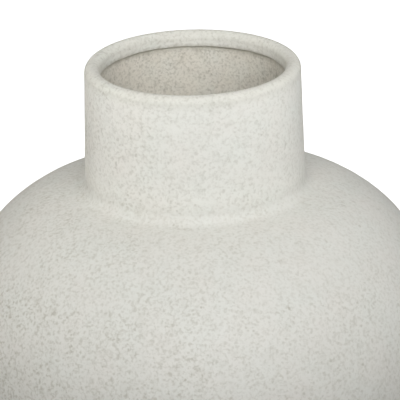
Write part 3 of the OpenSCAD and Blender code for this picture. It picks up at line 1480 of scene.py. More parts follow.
def finishes(form: Form) -> dict[Slot, Ceramic]:
    """The finish of each slot.

    Args:
        form: The pot's form, for the heights at which a coat changes.

    Returns:
        One finish for each slot.
    """
    fine = Specks(spacing=1.7 * MM, size=0.30, softness=0.20, strength=0.20)
    rare = Specks(spacing=9.0 * MM, size=0.07, softness=0.02, strength=0.45, offset=(0.1, 0.9, 0.3))
    net = Stipple(size=1.6 * MM, start=0.44, full=0.72, strength=0.40)
    blotch = Stipple(size=4.6 * MM, start=0.46, full=0.74, strength=0.12, offset=(0.7, 0.2, 0.4))
    # Painted shade along the lip's ledge inside the mouth, on both glazes, standing in for the shadow
    # under the ledge.
    crease = CreaseShade(
        radius=form.lip_in_r + 0.8 * MM,
        height=form.crease_z - 0.6 * MM,
        reach=3.0 * MM,
        strength=0.64,
        colour=(0.40, 0.38, 0.31),
    )
    strong_net = Stipple(size=1.3 * MM, start=0.43, full=0.70, strength=0.46)
    strong_blotch = Stipple(size=5.5 * MM, start=0.45, full=0.72, strength=0.14, offset=(0.3, 0.8, 0.6))
    grog = Specks(spacing=2.4 * MM, size=0.26, softness=0.08, strength=0.6, offset=(0.5, 0.5, 0.1))
    iron = Specks(spacing=6.0 * MM, size=0.12, softness=0.03, strength=0.9, offset=(0.2, 0.6, 0.8))
    return {
        Slot.MATT_GLAZE: Ceramic(
            name="matt_speckled_glaze",
            ground=(0.825, 0.822, 0.770),
            cool=(0.795, 0.812, 0.755),
            warm=(0.830, 0.790, 0.735),
            thin=(0.810, 0.800, 0.690),
            speck=(0.470, 0.450, 0.375),
            specks=(fine, rare),
            stipples=(net, blotch),
            # Darker on the body and shoulder, lighter up the neck, and a little darker again over the
            # lip's round.
            tiers=(
                Tier(height=0.0, lightness=0.945, speckle=1.1),
                Tier(height=form.widest_z + 50.0 * MM, lightness=0.930, speckle=0.9),
                Tier(height=form.corner_z + 7.0 * MM, lightness=1.06, speckle=0.75),
                Tier(height=form.crease_z - 14.0 * MM, lightness=1.10, speckle=0.7, fade=14.0 * MM),
                Tier(
                    height=form.crease_z + 2.5 * MM, lightness=0.985, speckle=0.85,
                    thinness=0.3, fade=3.0 * MM,
                ),
            ),
            flanks=(1.35, 0.82),
            crease=crease,
            relief=0.07 * MM,
            speck_relief=0.05 * MM,
        ),
        Slot.LINER: Ceramic(
            name="liner_glaze_inside",
            ground=(0.788, 0.765, 0.680),
            cool=(0.739, 0.734, 0.679),
            warm=(0.769, 0.692, 0.604),
            thin=(0.700, 0.680, 0.600),
            speck=(0.37, 0.345, 0.27),
            specks=(fine, rare),
            stipples=(strong_net, strong_blotch),
            tiers=(
                Tier(height=0.0, lightness=1.05, speckle=1.0),
                # The band just under the ledge is darker: painted shade under the lip, together with
                # the colour of the thinner coat at the liner's edge.
                Tier(
                    height=form.crease_z - 2.0 * MM, lightness=0.95, speckle=1.0,
                    thinness=0.4, fade=1.5 * MM,
                ),
            ),
            crease=crease,
            cloud_size=14.0 * MM,
            cloud_share=0.8,
            relief=0.09 * MM,
            roughness=0.62,
        ),
        Slot.CLAY: Ceramic(
            name="bare_stoneware",
            ground=(0.56, 0.46, 0.345),
            cool=(0.50, 0.425, 0.335),
            warm=(0.58, 0.43, 0.29),
            speck=(0.22, 0.16, 0.11),
            specks=(grog, iron),
            grain_size=0.8 * MM,
            relief=0.10 * MM,
            roughness=0.88,
            speck_roughness=-0.1,
        ),
        Slot.SLIP: Ceramic(
            name="joining_slip",
            ground=(0.61, 0.53, 0.425),
            cool=(0.57, 0.50, 0.41),
            warm=(0.62, 0.50, 0.37),
            speck=(0.36, 0.29, 0.22),
            specks=(iron,),
            cloud_size=10.0 * MM,
            grain_size=0.6 * MM,
            relief=0.05 * MM,
            roughness=0.8,
        ),
        Slot.PAD: Ceramic(
            name="soft_pad",
            ground=(0.74, 0.74, 0.72),
            cool=(0.70, 0.71, 0.70),
            warm=(0.74, 0.73, 0.69),
            speck=(0.60, 0.60, 0.58),
            specks=(grog,),
            cloud_size=4.0 * MM,
            grain_size=0.4 * MM,
            relief=0.02 * MM,
            roughness=0.42,
        ),
    }


# --- Sub-assemblies ---


@dataclass
class Workshop:
    """What every sub-assembly needs.

    Args:
        form: The pot's form.
        marks: The hand marks.
        wheel: Turns half-sections into pieces.
        materials: The material of each slot.
    """

    form: Form
    marks: HandMarks
    wheel: Wheel
    materials: dict[Slot, bpy.types.Material]

    def hand_in(self, piece: bpy.types.Object, node: str, slot: Slot) -> None:
        """Dresses a piece, ties it to the body, and says which node it stands for.

        Args:
            piece: The piece.
            node: The CAD node that it stands for.
            slot: Its material slot.
        """
        piece.data.materials.append(self.materials[slot])
        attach(piece, ROOT)
        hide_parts(node)
        LOG.info("%s: %d faces, stands for %s", piece.name, len(piece.data.polygons), node)


@dataclass
class Foot:
    """The turned foot ring, its seam, and the soft pads under it.

    Args:
        shop: The form, the wheel and the materials.
        edge_r: Round of the ring's lower edges.
        groove_depth: Depth of the turning grooves.
        groove_pitch: Distance between them.
        groove_fade: Distance from the ring's sides, in edge rounds, where they are whole.
        bead: How far the slip is squeezed out of the seam.
        pad_r: Radius of a pad.
        pad_edge_r: Round of its lower edge.
        pad_columns: Columns round a pad.
        pad_count: Number of pads.
        step: Length of a face on the detailed parts.
        coarse: How many times longer it is on plain sides.
        bulge_rows: Rows across a bead of slip.
    """

    shop: Workshop
    edge_r: float = 0.9 * MM
    groove_depth: float = 0.06 * MM
    groove_pitch: float = 1.3 * MM
    groove_fade: float = 3.0
    bead: float = 0.35 * MM
    pad_r: float = 4.0 * MM
    pad_edge_r: float = 0.7 * MM
    pad_columns: int = 64
    pad_count: int = 4
    step: float = 0.35 * MM
    coarse: int = 3
    bulge_rows: int = 13

    def build(self) -> None:
        """Builds the three pieces."""
        ring = self.shop.wheel.ring("turned_foot", self.ring_outline())
        self.shop.hand_in(ring, "foot_ring", Slot.CLAY)
        seam = self.shop.wheel.ring("foot_seam", self.seam_outline())
        self.shop.hand_in(seam, "foot_slip", Slot.SLIP)
        self.shop.hand_in(self.pads(), "foot_pads", Slot.PAD)

    def ring_outline(self) -> Outline:
        """A rectangle with round lower edges and turning grooves under it.

        The underside's height is a raised cosine of the radius, groove_depth deep, that
        fades out towards both edges.

        Returns:
            The closed outline.
        """
        form = self.shop.form
        low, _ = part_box("foot_ring")
        outer, inner = form.foot_r, form.foot_r - form.foot_w
        out_edge = Circle(np.array([outer - self.edge_r, low.z + self.edge_r]), self.edge_r)
        in_edge = Circle(np.array([inner + self.edge_r, low.z + self.edge_r]), self.edge_r)
        flat = line([inner + self.edge_r, low.z], [outer - self.edge_r, low.z], self.step)
        radius = flat.place[..., 0]
        whole = self.groove_fade * self.edge_r
        fade = smooth(inner + self.edge_r, inner + whole, radius)
        fade = fade * (1.0 - smooth(outer - whole, outer - self.edge_r, radius))
        groove = 0.5 - 0.5 * np.cos(TURN * radius / self.groove_pitch)
        flat.place[..., 1] += self.groove_depth * fade * groove
        side_step = self.step * self.coarse
        return joined(
            flat,
            out_edge.arc(-pi / 2, 0.0, self.step / 2).outside(0.0).without_first(),
            line([outer, low.z + self.edge_r], [outer, form.foot_top_z], side_step).without_first(),
            line([outer, form.foot_top_z], [inner, form.foot_top_z], side_step).without_first(),
            line([inner, form.foot_top_z], [inner, low.z + self.edge_r], side_step).without_first(),
            in_edge.arc(pi, 3 * pi / 2, self.step / 2).outside(0.0).middle(),
        )

    def seam_outline(self) -> Outline:
        """A thin rectangle whose ends bulge into half-ellipses where the slip squeezed out.

        Returns:
            The closed outline.
        """
        form = self.shop.form
        outer, inner = form.foot_r, form.foot_r - form.foot_w
        middle, half = (form.foot_top_z + form.seat_z) / 2, form.slip_t / 2
        turn = np.linspace(-pi / 2, pi / 2, self.bulge_rows)[:, None]
        out_bulge = np.stack([outer + self.bead * np.cos(turn), middle + half * np.sin(turn)], -1)
        in_bulge = np.stack([inner - self.bead * np.cos(turn), middle - half * np.sin(turn)], -1)
        top = line([outer, form.seat_z], [inner, form.seat_z], self.coarse * self.step)
        bottom = line([inner, form.foot_top_z], [outer, form.foot_top_z], self.coarse * self.step)
        return joined(
            still(out_bulge),
            top.without_first(),
            still(in_bulge).without_first(),
            bottom.middle(),
        )

    def pads(self) -> bpy.types.Object:
        """All pads as one piece of separate solids: flat discs with a round lower edge.

        Returns:
            The piece.
        """
        form = self.shop.form
        low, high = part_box("foot_pads")
        flat_r, edge_z = self.pad_r - self.pad_edge_r, low.z + self.pad_edge_r
        edge = Circle(np.array([flat_r, edge_z]), self.pad_edge_r)
        outline = joined(
            line([0.0, low.z], [flat_r, low.z], self.step),
            edge.arc(-pi / 2, 0.0, self.step / self.coarse).outside(0.0).without_first(),
            line([self.pad_r, edge_z], [self.pad_r, high.z], self.step).without_first(),
            line([self.pad_r, high.z], [0.0, high.z], self.step).without_first(),
        )
        angle = column_angles(self.pad_columns)[None, :]
        radius, z = outline.place[1:-1, :, 0], outline.place[1:-1, :, 1]
        x, y = radius * np.cos(angle), radius * np.sin(angle)
        grid = np.stack([x, y, np.broadcast_to(z, x.shape)], axis=-1)
        rows, count = grid.shape[0], grid.shape[0] * self.pad_columns
        disc = np.concatenate([grid.reshape(-1, 3), [[0.0, 0.0, low.z], [0.0, 0.0, high.z]]])
        faces = np.concatenate([
            turned_faces(rows, self.pad_columns, ring=False),
            pole_faces(count, 0, self.pad_columns, low=True),
            pole_faces(count + 1, count - self.pad_columns, self.pad_columns, low=False),
        ])
        centres = np.zeros((self.pad_count, 3))
        centres[:, :2] = (form.foot_r - form.foot_w / 2) * ray(column_angles(self.pad_count))
        points = (disc[None] + centres[:, None]).reshape(-1, 3)
        first = (np.arange(self.pad_count) * len(disc))[:, None, None]
        return new_piece("soft_pads", points, (faces[None] + first).reshape(-1, 4))


@dataclass
class Body:
    """The thrown bowl, the belly seam and the thrown shoulder dome.

    Args:
        shop: The form, the wheel and the materials.
        underside_depth: Depth of the turning mark under the floor.
        underside_pitch: Distance between its turns.
        pitch_rows: Rows in that distance.
        fade_in: Share of the ring's inner radius at which the mark is whole.
        fade_out: Shares at which it begins to fade and is gone.
        edge_step: Length of the first face above the seat.
        growth: Ratio of each face to the one below.
    """

    shop: Workshop
    underside_depth: float = 0.12 * MM
    underside_pitch: float = 3.2 * MM
    pitch_rows: int = 5
    fade_in: float = 0.25
    fade_out: tuple[float, float] = (0.9, 0.98)
    edge_step: float = 0.5 * MM
    growth: float = 1.3

    def build(self) -> None:
        """Builds the three pieces."""
        wheel = self.shop.wheel
        self.shop.hand_in(wheel.capped("thrown_bowl", self.bowl_outline()), "bottom_bowl", Slot.CLAY)
        self.shop.hand_in(wheel.ring("belly_seam", self.seam_outline()), "belly_slip", Slot.SLIP)
        dome = wheel.ring("thrown_dome", self.dome_outline())
        self.shop.hand_in(dome, "shoulder_dome", Slot.CLAY)

    def seam_face(self, row: int) -> Outline:
        """One face of the belly seam: row 0 is the bowl's rim, row -1 the dome's.

        Args:
            row: Which face.

        Returns:
            The face.
        """
        form = self.shop.form
        run = form.seam_run
        return form.keyed(run.sunk(form.glaze_t)[row, 0], run.sunk(form.clay_in)[row, 0])

    def underside(self) -> Outline:
        """The underside from the axis to the seat's edge, with a spiral turning mark.

        Its height is a raised cosine of the radius and the angle, one turn per pitch,
        inside the foot ring only.

        Returns:
            The stretch, outwards.
        """
        form = self.shop.form
        edge = form.lower.at(form.lower_angle(form.seat_z, form.glaze_t), form.glaze_t)
        step = self.underside_pitch / self.pitch_rows
        flat = line([0.0, form.seat_z], [float(edge[0]), form.seat_z], step)
        radius = flat.place[..., 0]
        angle = column_angles()[None, :]
        inner = form.foot_r - form.foot_w
        low, high = self.fade_out
        fade = smooth(0.0, self.fade_in * inner, radius)
        fade = fade * (1.0 - smooth(low * inner, high * inner, radius))
        mark = 0.5 - 0.5 * np.cos(TURN * radius / self.underside_pitch - angle)
        z = form.seat_z + self.underside_depth * fade * mark
        return still(np.stack(np.broadcast_arrays(radius, z), axis=-1))

    def bowl_outline(self) -> Outline:
        """Underside, outer wall, keyed rim, inner wall and floor.

        Returns:
            The outline from the axis round to the axis.
        """
        form = self.shop.form
        low = form.lower_angle(form.seat_z, form.glaze_t)
        share = graded(-low * form.lower.radius, self.edge_step, self.growth, form.row_step)
        wall = form.lower.run(low, 0.0, share)
        inner_floor = form.floor_corner.centre[0]
        floor_z = form.floor_z - form.liner_t
        floor = line([inner_floor, floor_z], [0.0, floor_z], form.row_step)
        up = np.broadcast_to([0.0, 1.0], floor.place.shape)
        return joined(
            self.underside(),
            wall.outside(form.glaze_t).without_first(),
            self.seam_face(0).without_first(),
            form.floor_run.inside(form.clay_in).back().without_first(),
            Outline(floor.place, up).without_first(),
        )

    def seam_outline(self) -> Outline:
        """Between the two keyed faces."""
        return joined(self.seam_face(-1), self.seam_face(0).back())

    def dome_outline(self) -> Outline:
        """Outer shoulder, keyed opening, inner shoulder and keyed rim.

        Returns:
            The closed outline.
        """
        form = self.shop.form
        corner_a = bearing(form.shoulder.centre, form.clay_corner)
        crown = form.shoulder.arc(form.blend_a, corner_a, form.fine_step)
        rim_a = form.blend_angle(form.corner_z)
        turn = form.blend.arc(form.blend_a, rim_a, form.fine_step)
        inner = form.upper_run.then(turn)
        top = form.keyed(form.clay_corner, turn.sunk(form.clay_in)[-1, 0])
        return joined(
            form.upper_run.then(crown).outside(form.glaze_t),
            top.without_first(),
            inner.inside(form.clay_in).back().without_first(),
            self.seam_face(-1).back().middle(),
        )


@dataclass
class Neck:
    """The neck seam, the thrown collar, the blend coil, the lip seam and the lip coil.

    Args:
        shop: The form, the wheel and the materials.
    """

    shop: Workshop

    def build(self) -> None:
        """Builds the five pieces."""
        wheel, shop = self.shop.wheel, self.shop
        shop.hand_in(wheel.ring("neck_seam", self.seam_outline()), "neck_slip", Slot.SLIP)
        shop.hand_in(wheel.ring("thrown_collar", self.collar_outline()), "neck_collar", Slot.CLAY)
        shop.hand_in(wheel.ring("blend_coil", self.blend_outline()), "neck_coil", Slot.CLAY)
        shop.hand_in(wheel.ring("lip_seam", self.lip_seam_outline()), "lip_slip", Slot.SLIP)
        shop.hand_in(wheel.ring("rolled_lip", self.lip_outline()), "lip_coil", Slot.CLAY)

    def low_face(self) -> Outline:
        """The dome's keyed face.

        Returns:
            The face.
        """
        form = self.shop.form
        rim_a = form.blend_angle(form.corner_z)
        return form.keyed(form.clay_corner, form.blend.at(rim_a, form.clay_in))

    def high_face(self) -> Outline:
        """The collar's keyed foot, one seam higher.

        Returns:
            The face.
        """
        form = self.shop.form
        z = form.corner_z + form.slip_t
        inner = form.blend.at(form.blend_angle(z), form.clay_in)
        return form.keyed(form.neck_point(z, form.glaze_t), inner)

    def lip_face(self, z: float) -> Outline:
        """A keyed face of the lip seam at a height."""
        form = self.shop.form
        return form.keyed(form.neck_point(z, form.glaze_t), form.neck_point(z, form.clay_in))

    def seam_outline(self) -> Outline:
        """Between the dome's face and the collar's."""
        return joined(self.high_face(), self.low_face().back())

    def collar_outline(self) -> Outline:
        """Outer side, lip seam face, inner side and hollow, back to the keyed foot.

        Returns:
            The closed outline.
        """
        form = self.shop.form
        foot_z = form.corner_z + form.slip_t
        seam_z = form.crease_z - form.slip_t
        hollow = form.blend.arc(form.blend_angle(foot_z), form.neck_lean, form.fine_step)
        start = float(hollow.sunk(form.clay_in)[-1, 0, 1])
        return joined(
            form.neck_rows(foot_z, seam_z, form.glaze_t, inner=False),
            self.lip_face(seam_z).without_first(),
            form.neck_rows(start, seam_z, form.clay_in, inner=True).back().without_first(),
            hollow.inside(form.clay_in).back().without_first(),
            self.high_face().back().middle(),
        )

    def blend_outline(self) -> Outline:
        """Between the hollow outside and the corner of dome and collar.

        Returns:
            The closed outline.
        """
        form = self.shop.form
        corner_a = bearing(form.shoulder.centre, form.clay_corner)
        crown = form.shoulder.arc(form.blend_a, corner_a, form.fine_step)
        hollow = form.blend.arc(form.blend_a, form.neck_lean, form.fine_step)
        top = float(hollow.sunk(form.glaze_t)[-1, 0, 1])
        side = form.neck_rows(form.corner_z, top, form.glaze_t, inner=False)
        return joined(
            hollow.outside(form.glaze_t),
            side.back().without_first(),
            crown.outside(form.glaze_t).back().middle(),
        )

    def lip_seam_outline(self) -> Outline:
        """Between the collar's top face and the lip's."""
        form = self.shop.form
        return joined(self.lip_face(form.crease_z), self.lip_face(form.crease_z - form.slip_t).back())

    def lip_outline(self) -> Outline:
        """The full round under the glaze, down to the ledge and the keyed face.

        Returns:
            The closed outline.
        """
        form = self.shop.form
        seam = form.neck_point(form.crease_z, form.glaze_t)
        inner_r = form.lip_in_r + form.glaze_t
        round_run = form.lip.arc(form.neck_lean, pi, form.fine_step)
        round_end, ledge_start = [inner_r, form.lip.centre[1]], [inner_r, form.crease_z]
        ledge_end = form.neck_point(form.crease_z, form.clay_in)
        return joined(
            line(seam, form.neck_top(form.glaze_t), form.fine_step),
            round_run.outside(form.glaze_t).without_first(),
            line(round_end, ledge_start, form.fine_step).without_first(),
            line(ledge_start, ledge_end, form.fine_step / 2).without_first(),
            self.lip_face(form.crease_z).back().middle(),
        )


@dataclass
class Coats:
    """The matt glaze outside and the liner glaze inside.

    Args:
        shop: The form, the wheel and the materials.
        roll_length: Length over which a coat's edge rises.
        roll_swell: Height of the swell behind it.
        roll_place: Distance of the swell from the edge.
        line_wave: Height of the waves of the glaze line above the foot.
        line_lobes: Their numbers round the axis.
        hang: Distance that the lip's glaze hangs below the ledge.
        hang_wave: Height of its waves.
        hang_lobes: Their numbers round the axis.
        liner_gap: Distance of the liner's edge from the ledge.
        liner_wave: Height of its waves.
        liner_lobes: Their numbers round the axis.
        lip_step: Length of a face on the lip.
        glaze_step: Length of the first face above the glaze line.
        liner_step: Length of the last face below the liner's edge.
        growth: Ratio of each face to the one nearer the edge.
        drip_rows: Rows round the lower edge of the lip's glaze.
        settled: Distance from the edge, in roll lengths, at which the ripples are whole.
        calm_from: Depth below the ledge at which the ripples begin to die out.
        calm_to: Height above the ledge at which they are gone.
    """

    shop: Workshop
    roll_length: float = 1.4 * MM
    roll_swell: float = 0.16 * MM
    roll_place: float = 1.6 * MM
    line_wave: float = 0.9 * MM
    line_lobes: tuple[int, ...] = (3, 5, 8, 13)
    hang: float = 0.18 * MM
    hang_wave: float = 0.22 * MM
    hang_lobes: tuple[int, ...] = (5, 9, 16, 23)
    liner_gap: float = 0.45 * MM
    liner_wave: float = 0.18 * MM
    liner_lobes: tuple[int, ...] = (4, 11, 19)
    lip_step: float = 0.5 * MM
    glaze_step: float = 0.05 * MM
    liner_step: float = 0.04 * MM
    growth: float = 1.35
    drip_rows: int = 9
    settled: float = 4.0
    calm_from: float = 4.0 * MM
    calm_to: float = 2.0 * MM

    def build(self) -> None:
        """Builds the two pieces."""
        wheel = self.shop.wheel
        glaze = wheel.ring("matt_glaze_coat", self.glaze_outline())
        self.shop.hand_in(glaze, "outer_glaze", Slot.MATT_GLAZE)
        liner = wheel.capped("liner_coat", self.liner_outline())
        self.shop.hand_in(liner, "liner_glaze", Slot.LINER)

    def rolled(self, distance: Array, full: float) -> Array:
        """Thickness of a coat at a distance from its edge.

        A quarter-ellipse rises from nothing to the full thickness over roll_length, and
        a low swell follows it where the glaze drew back: a Gaussian round roll_place.

        Args:
            distance: Distances from the edge.
            full: The full thickness.

        Returns:
            The thickness at each distance.
        """
        share = np.clip(distance / self.roll_length, 0.0, 1.0)
        rise = full * np.sqrt(1.0 - (1.0 - share) ** 2)
        swell = self.roll_swell * np.exp(-(((distance - self.roll_place) / self.roll_length) ** 2))
        return rise + swell * share

    def glaze_outline(self) -> Outline:
        """Up the outside from the wavy glaze line, over the lip, and back along the clay.

        Returns:
            The closed outline.
        """
        form, marks = self.shop.form, self.shop.marks
        angle = column_angles()
        start = form.lower_angle(form.seat_z + form.bare_h, form.glaze_t)
        start = start + marks.edge_wave(angle, self.line_lobes, self.line_wave) / form.lower.radius
        length = float(-start.mean()) * form.lower.radius
        share = graded(length, self.glaze_step, self.growth, form.row_step)
        wall = form.lower.run(start, 0.0, share)
        thick = self.rolled(share * length, form.glaze_t)[:, None]
        lip = form.lip.arc(form.neck_lean, pi, self.lip_step)
        hollow = form.blend.arc(form.blend_a, form.neck_lean, form.fine_step)
        above = form.seam_run.then(form.upper_run).then(hollow)
        neck = self.straight(hollow, lip, form.row_step)
        rest = above.then(neck).then(lip)
        swell_low = marks.ripples(angle[None, :], wall.place[..., 1])
        swell_high = marks.ripples(angle[None, :], rest.place[..., 1])
        fade = smooth(0.0, self.settled * self.roll_length, share * length)[:, None]
        calm_low, calm_high = form.crease_z - self.calm_from, form.crease_z + self.calm_to
        calm = 1.0 - smooth(calm_low, calm_high, rest.place[..., 1])
        outer_low = wall.outside(form.glaze_t - thick - swell_low * fade)
        outer_high = rest.outside(-swell_high * calm)
        inner = wall.outside(form.glaze_t)
        lip_back = form.lip.arc(form.neck_lean, pi, form.fine_step)
        inner_rest = above.then(self.straight(hollow, lip_back, form.row_step)).then(lip_back)
        return joined(
            outer_low,
            outer_high.without_first(),
            self.lip_edge(angle),
            inner_rest.outside(form.glaze_t).back().without_first(),
            inner.back().middle(),
        )

    @staticmethod
    def straight(before: Run, after: Run, step: float) -> Run:
        """The straight run that joins the end of one run to the start of another.

        Args:
            before: The run before it.
            after: The run after it.
            step: Longest face.

        Returns:
            The run, with both ends.
        """
        first, last = before.place[-1], after.place[0]
        share = steps_between(float(np.linalg.norm(last - first)), step)[:, None, None]
        place = first + share * (last - first)
        return Run(place, np.broadcast_to(before.out[-1], place.shape))

    def lip_edge(self, angle: Array) -> Outline:
        """The lip's inner face down to its wavy, rounded lower edge, and up to the ledge.

        The edge hangs below the ledge by a small wavy length and ends in a half-circle
        as wide as the glaze is thick.

        Args:
            angle: Angles of the columns.

        Returns:
            The stretch, from the round to the ledge.
        """
        form, marks = self.shop.form, self.shop.marks
        top = float(form.lip.centre[1])
        half = form.glaze_t / 2
        hang = self.hang + marks.edge_wave(angle, self.hang_lobes, self.hang_wave)
        centre_z = form.crease_z - hang + half
        share = steps_between(top - form.crease_z, self.lip_step)[1:, None]
        z_face = top + share * (centre_z - top)
        face = np.stack([np.full_like(z_face, form.lip_in_r), z_face], axis=-1)
        turn = np.linspace(pi, TURN, self.drip_rows)[1:, None]
        middle = form.lip_in_r + half
        r_end = np.broadcast_to(middle + half * np.cos(turn), (len(turn), len(angle)))
        z_end = centre_z + half * np.sin(turn)
        end = np.stack([r_end, z_end], axis=-1)
        return still(np.concatenate([face, end]))

    def liner_outline(self) -> Outline:
        """Under the liner from the floor's middle up to the crease, and back down its face.

        Returns:
            The outline from the axis round to the axis.
        """
        form, marks = self.shop.form, self.shop.marks
        angle = column_angles()
        rim_a = form.blend_angle(form.corner_z)
        turn = form.blend.arc(form.blend_a, rim_a, form.fine_step)
        hollow = form.blend.arc(rim_a, form.neck_lean, form.fine_step)
        below = form.floor_run.then(form.seam_run).then(form.upper_run).then(turn).then(hollow)
        start = hollow.place[-1, 0]
        wave = marks.edge_wave(angle, self.liner_lobes, self.liner_wave)
        edge_z = form.crease_z - self.liner_gap + wave
        length = float(edge_z.mean() - start[1])
        share = 1.0 - graded(length, self.liner_step, self.growth, form.row_step)[::-1]
        height = start[1] + share[:, None] * (edge_z - start[1])
        radius = start[0] - (height - start[1]) * tan(form.neck_lean)
        place = np.stack([radius, height], axis=-1)
        wall = Run(place, np.broadcast_to(ray(form.neck_lean), place.shape))
        thick = self.rolled((1.0 - share) * length, form.liner_t)[:, None]
        floor_r = float(form.floor_corner.centre[0])
        low_z, high_z = form.floor_z - form.liner_t, form.floor_z
        under = line([0.0, low_z], [floor_r, low_z], form.row_step)
        over = line([floor_r, high_z], [0.0, high_z], form.row_step)
        up = np.broadcast_to([0.0, 1.0], under.place.shape)
        return joined(
            Outline(under.place, up),
            below.inside(form.clay_in).without_first(),
            wall.inside(form.clay_in).without_first(),
            wall.inside(form.clay_in + thick).back().without_first(),
            below.inside(form.wall_t).back().without_first(),
            Outline(over.place, up).without_first(),
        )


# --- Studio ---


@dataclass(frozen=True)
class SoftBox:
    """A soft light: a glowing rectangle aimed at the pot, out of the camera's sight.

    Args:
        name: The light's name.
        azimuth: Direction it stands in, round the pot, from the camera's side towards +X.
        elevation: Angle above the aim.
        power: Power in watts.
        distance: Distance from the aim.
        width: Width of the rectangle.
        height: Height of the rectangle.
        spread: Angle that a grid on the box lets out; pi is no grid.
        aim_z: Height of the point on the axis that the box faces.
        tint: Colour of the light.
    """

    name: str
    azimuth: float
    elevation: float
    power: float
    distance: float = 1.2
    width: float = 0.6
    height: float = 0.6
    spread: float = pi
    aim_z: float = 0.16
    tint: Colour = WHITE

    def place(self) -> None:
        """Makes the light and turns it to the point that it faces."""
        data = bpy.data.lights.new(self.name, "AREA")
        data.shape = "RECTANGLE"
        data.size, data.size_y = self.width, self.height
        data.energy = self.power
        data.color = self.tint
        data.spread = self.spread
        light = bpy.data.objects.new(self.name, data)
        level = cos(self.elevation)
        away = Vector((sin(self.azimuth) * level, -cos(self.azimuth) * level, sin(self.elevation)))
        light.location = Vector((0.0, 0.0, self.aim_z)) + away * self.distance
        light.rotation_euler = away.to_track_quat("Z", "Y").to_euler()
        light.visible_camera = False
        bpy.context.scene.collection.objects.link(light)


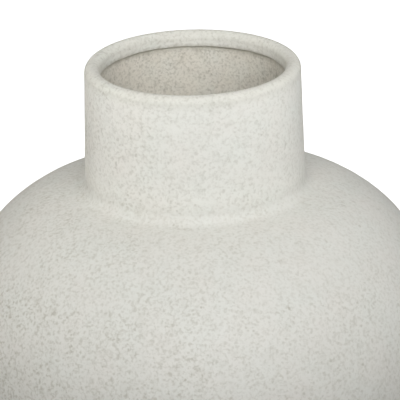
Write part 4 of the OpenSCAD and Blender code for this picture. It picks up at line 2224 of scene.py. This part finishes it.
@dataclass
class Studio:
    """Camera, lights, world and floor.

    Args:
        form: The pot's form, for the height that the camera is placed from.
        camera_elevation: Angle of the camera above the lip.
        camera_distance: Distance from the middle of the lip.
        camera_pitch: Angle that it looks down.
        camera_yaw: Angle that it looks to +X.
        camera_roll: Angle that it is turned about its own view.
        lens_mm: Focal length.
        sensor_mm: Width of the sensor.
        floor_half: Half the floor's side.
        floor_colour: The floor as it is seen.
        floor_bounce: The floor as the pot is lit by it.
        floor_rough: Roughness of the floor.
        floor_glow: Strength of the lift that makes it white far away.
        lift_near: Share of the lift close to the pot.
        lift_from: Distance from the axis up to which that holds.
        lift_to: Distance from the axis at which the lift is whole.
        world_seen: Brightness of the surround as it is seen.
        world_light: Brightness of the surround as a light.
        lights: The soft lights.
    """

    form: Form
    camera_elevation: float = radians(19.01)
    camera_distance: float = 1.450
    camera_pitch: float = radians(21.652)
    camera_yaw: float = radians(0.085)
    camera_roll: float = radians(-1.416)
    lens_mm: float = 270.0
    sensor_mm: float = 36.0
    floor_half: float = 60.0
    floor_colour: Colour = (0.80, 0.80, 0.79)
    floor_bounce: Colour = (0.30, 0.30, 0.295)
    floor_rough: float = 0.9
    floor_glow: float = 0.90
    lift_near: float = 0.50
    lift_from: float = 0.10
    lift_to: float = 0.42
    world_seen: float = 1.0
    world_light: float = 0.033
    lights: tuple[SoftBox, ...] = (
        SoftBox("key_box", radians(8.5), radians(42.0), power=10.28, width=1.0, height=0.8),
        SoftBox(
            "front_grid", radians(6.5), radians(15.0), power=0.225, distance=1.0,
            width=0.8, height=0.25, spread=radians(45.0), aim_z=0.29, tint=COOL_WHITE,
        ),
        SoftBox("left_box", radians(-70.0), radians(32.0), power=1.21, height=0.8, tint=WARM_WHITE),
        SoftBox("left_low", radians(-102.0), radians(6.0), power=3.45, aim_z=0.08, tint=WARM_WHITE),
        SoftBox("right_low", radians(102.0), radians(6.0), power=1.97, aim_z=0.08),
        SoftBox("back_box", radians(180.0), radians(50.0), power=1.77, width=1.0),
        SoftBox("back_fill", radians(180.0), radians(6.0), power=0.95, width=1.0, aim_z=0.10),
        SoftBox("left_rim", radians(-120.0), radians(38.0), power=1.18, height=0.8, tint=WARM_WHITE),
        SoftBox("right_rim", radians(120.0), radians(38.0), power=1.50, height=0.8),
        SoftBox(
            "left_grid", radians(-84.0), radians(-1.0), power=0.040, distance=0.8,
            height=0.06, spread=radians(18.0), aim_z=0.272, tint=WARM_WHITE,
        ),
        SoftBox(
            "right_grid", radians(90.0), radians(-1.0), power=0.036, distance=0.8,
            height=0.06, spread=radians(18.0), aim_z=0.272,
        ),
    )

    def build(self) -> None:
        """Sets up the whole studio."""
        self.set_camera()
        self.set_world()
        self.lay_floor()
        for box in self.lights:
            box.place()
        scene = bpy.context.scene
        scene.view_settings.view_transform = "Standard"
        scene.view_settings.look = "None"

    def set_camera(self) -> None:
        """Stands the camera in front of and above the lip, looking down at the shoulder."""
        level = np.array([cos(self.camera_yaw), -sin(self.camera_yaw), 0.0])
        look = np.array([
            sin(self.camera_yaw) * cos(self.camera_pitch),
            cos(self.camera_yaw) * cos(self.camera_pitch),
            -sin(self.camera_pitch),
        ])
        upright = np.cross(level, look)
        right = cos(self.camera_roll) * level + sin(self.camera_roll) * upright
        up = -sin(self.camera_roll) * level + cos(self.camera_roll) * upright
        back = np.array([0.0, -cos(self.camera_elevation), sin(self.camera_elevation)])
        spot = np.array([0.0, 0.0, self.form.height]) + self.camera_distance * back
        data = bpy.data.cameras.new("camera")
        data.lens, data.sensor_width = self.lens_mm, self.sensor_mm
        camera = bpy.data.objects.new("camera", data)
        axes = np.eye(4)
        axes[:3] = np.stack([right, up, -look, spot], axis=1)
        camera.matrix_world = Matrix(axes.tolist())
        bpy.context.scene.collection.objects.link(camera)
        bpy.context.scene.camera = camera

    def set_world(self) -> None:
        """An even white surround, weaker as a light than it is seen."""
        world = bpy.data.worlds.new("surround")
        bpy.context.scene.world = world
        world.use_nodes = True
        graph = Graph(world.node_tree)
        seen = graph.add("ShaderNodeLightPath").outputs["Is Camera Ray"]
        gap = self.world_seen - self.world_light
        strength = graph.scaled(seen, gap, self.world_light)
        glow = graph.add("ShaderNodeBackground", {"Color": WHITE, "Strength": strength})
        graph.add("ShaderNodeOutputWorld", {"Surface": glow.outputs[0]})

    def lay_floor(self) -> None:
        """A wide pale floor under the pads, open from below.

        Away from the pot the camera sees it lifted to white, and near it with the pot's
        shadow; the light that it throws back is held down.
        """
        half = self.floor_half
        corners = np.array([[-1, -1, 0], [1, -1, 0], [1, 1, 0], [-1, 1, 0]]) * half
        floor = new_piece("floor", corners, np.array([[0, 1, 2, 3]]))
        material = bpy.data.materials.new("pale_floor")
        material.use_nodes = True
        graph = Graph(material.node_tree)
        seen = graph.add("ShaderNodeLightPath").outputs["Is Camera Ray"]
        place = graph.add("ShaderNodeTexCoord").outputs["Object"]
        spread_out = graph.ramp(graph.length(place), self.lift_from, self.lift_to, self.lift_near, 1.0)
        lift = graph.math("MULTIPLY", seen, spread_out)
        inputs = {
            "Base Color": graph.mix(seen, self.floor_bounce, self.floor_colour),
            "Roughness": self.floor_rough,
            "Emission Color": graph.mix(lift, BLACK, WHITE),
            "Emission Strength": self.floor_glow,
        }
        shader = graph.add("ShaderNodeBsdfPrincipled", inputs)
        under = graph.add("ShaderNodeNewGeometry").outputs["Backfacing"]
        clear = graph.add("ShaderNodeBsdfTransparent")
        both = graph.add("ShaderNodeMixShader", {0: under, 1: shader.outputs[0], 2: clear.outputs[0]})
        graph.add("ShaderNodeOutputMaterial", {"Surface": both.outputs[0]})
        floor.data.materials.append(material)


def main() -> None:
    """Builds every piece and the studio, and reports them."""
    logging.basicConfig(level=logging.INFO, format="%(name)s: %(message)s")
    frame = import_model()
    LOG.info("frame loaded with %d nodes", len(frame["nodes"]))
    form = Form.from_frame()
    marks = HandMarks(form)
    effects = Effects()
    materials = {slot: finish.build(effects) for slot, finish in finishes(form).items()}
    shop = Workshop(form, marks, Wheel(marks), materials)
    for assembly in (Foot(shop), Body(shop), Neck(shop), Coats(shop)):
        assembly.build()
    Studio(form).build()


if __name__ == "__main__":
    main()
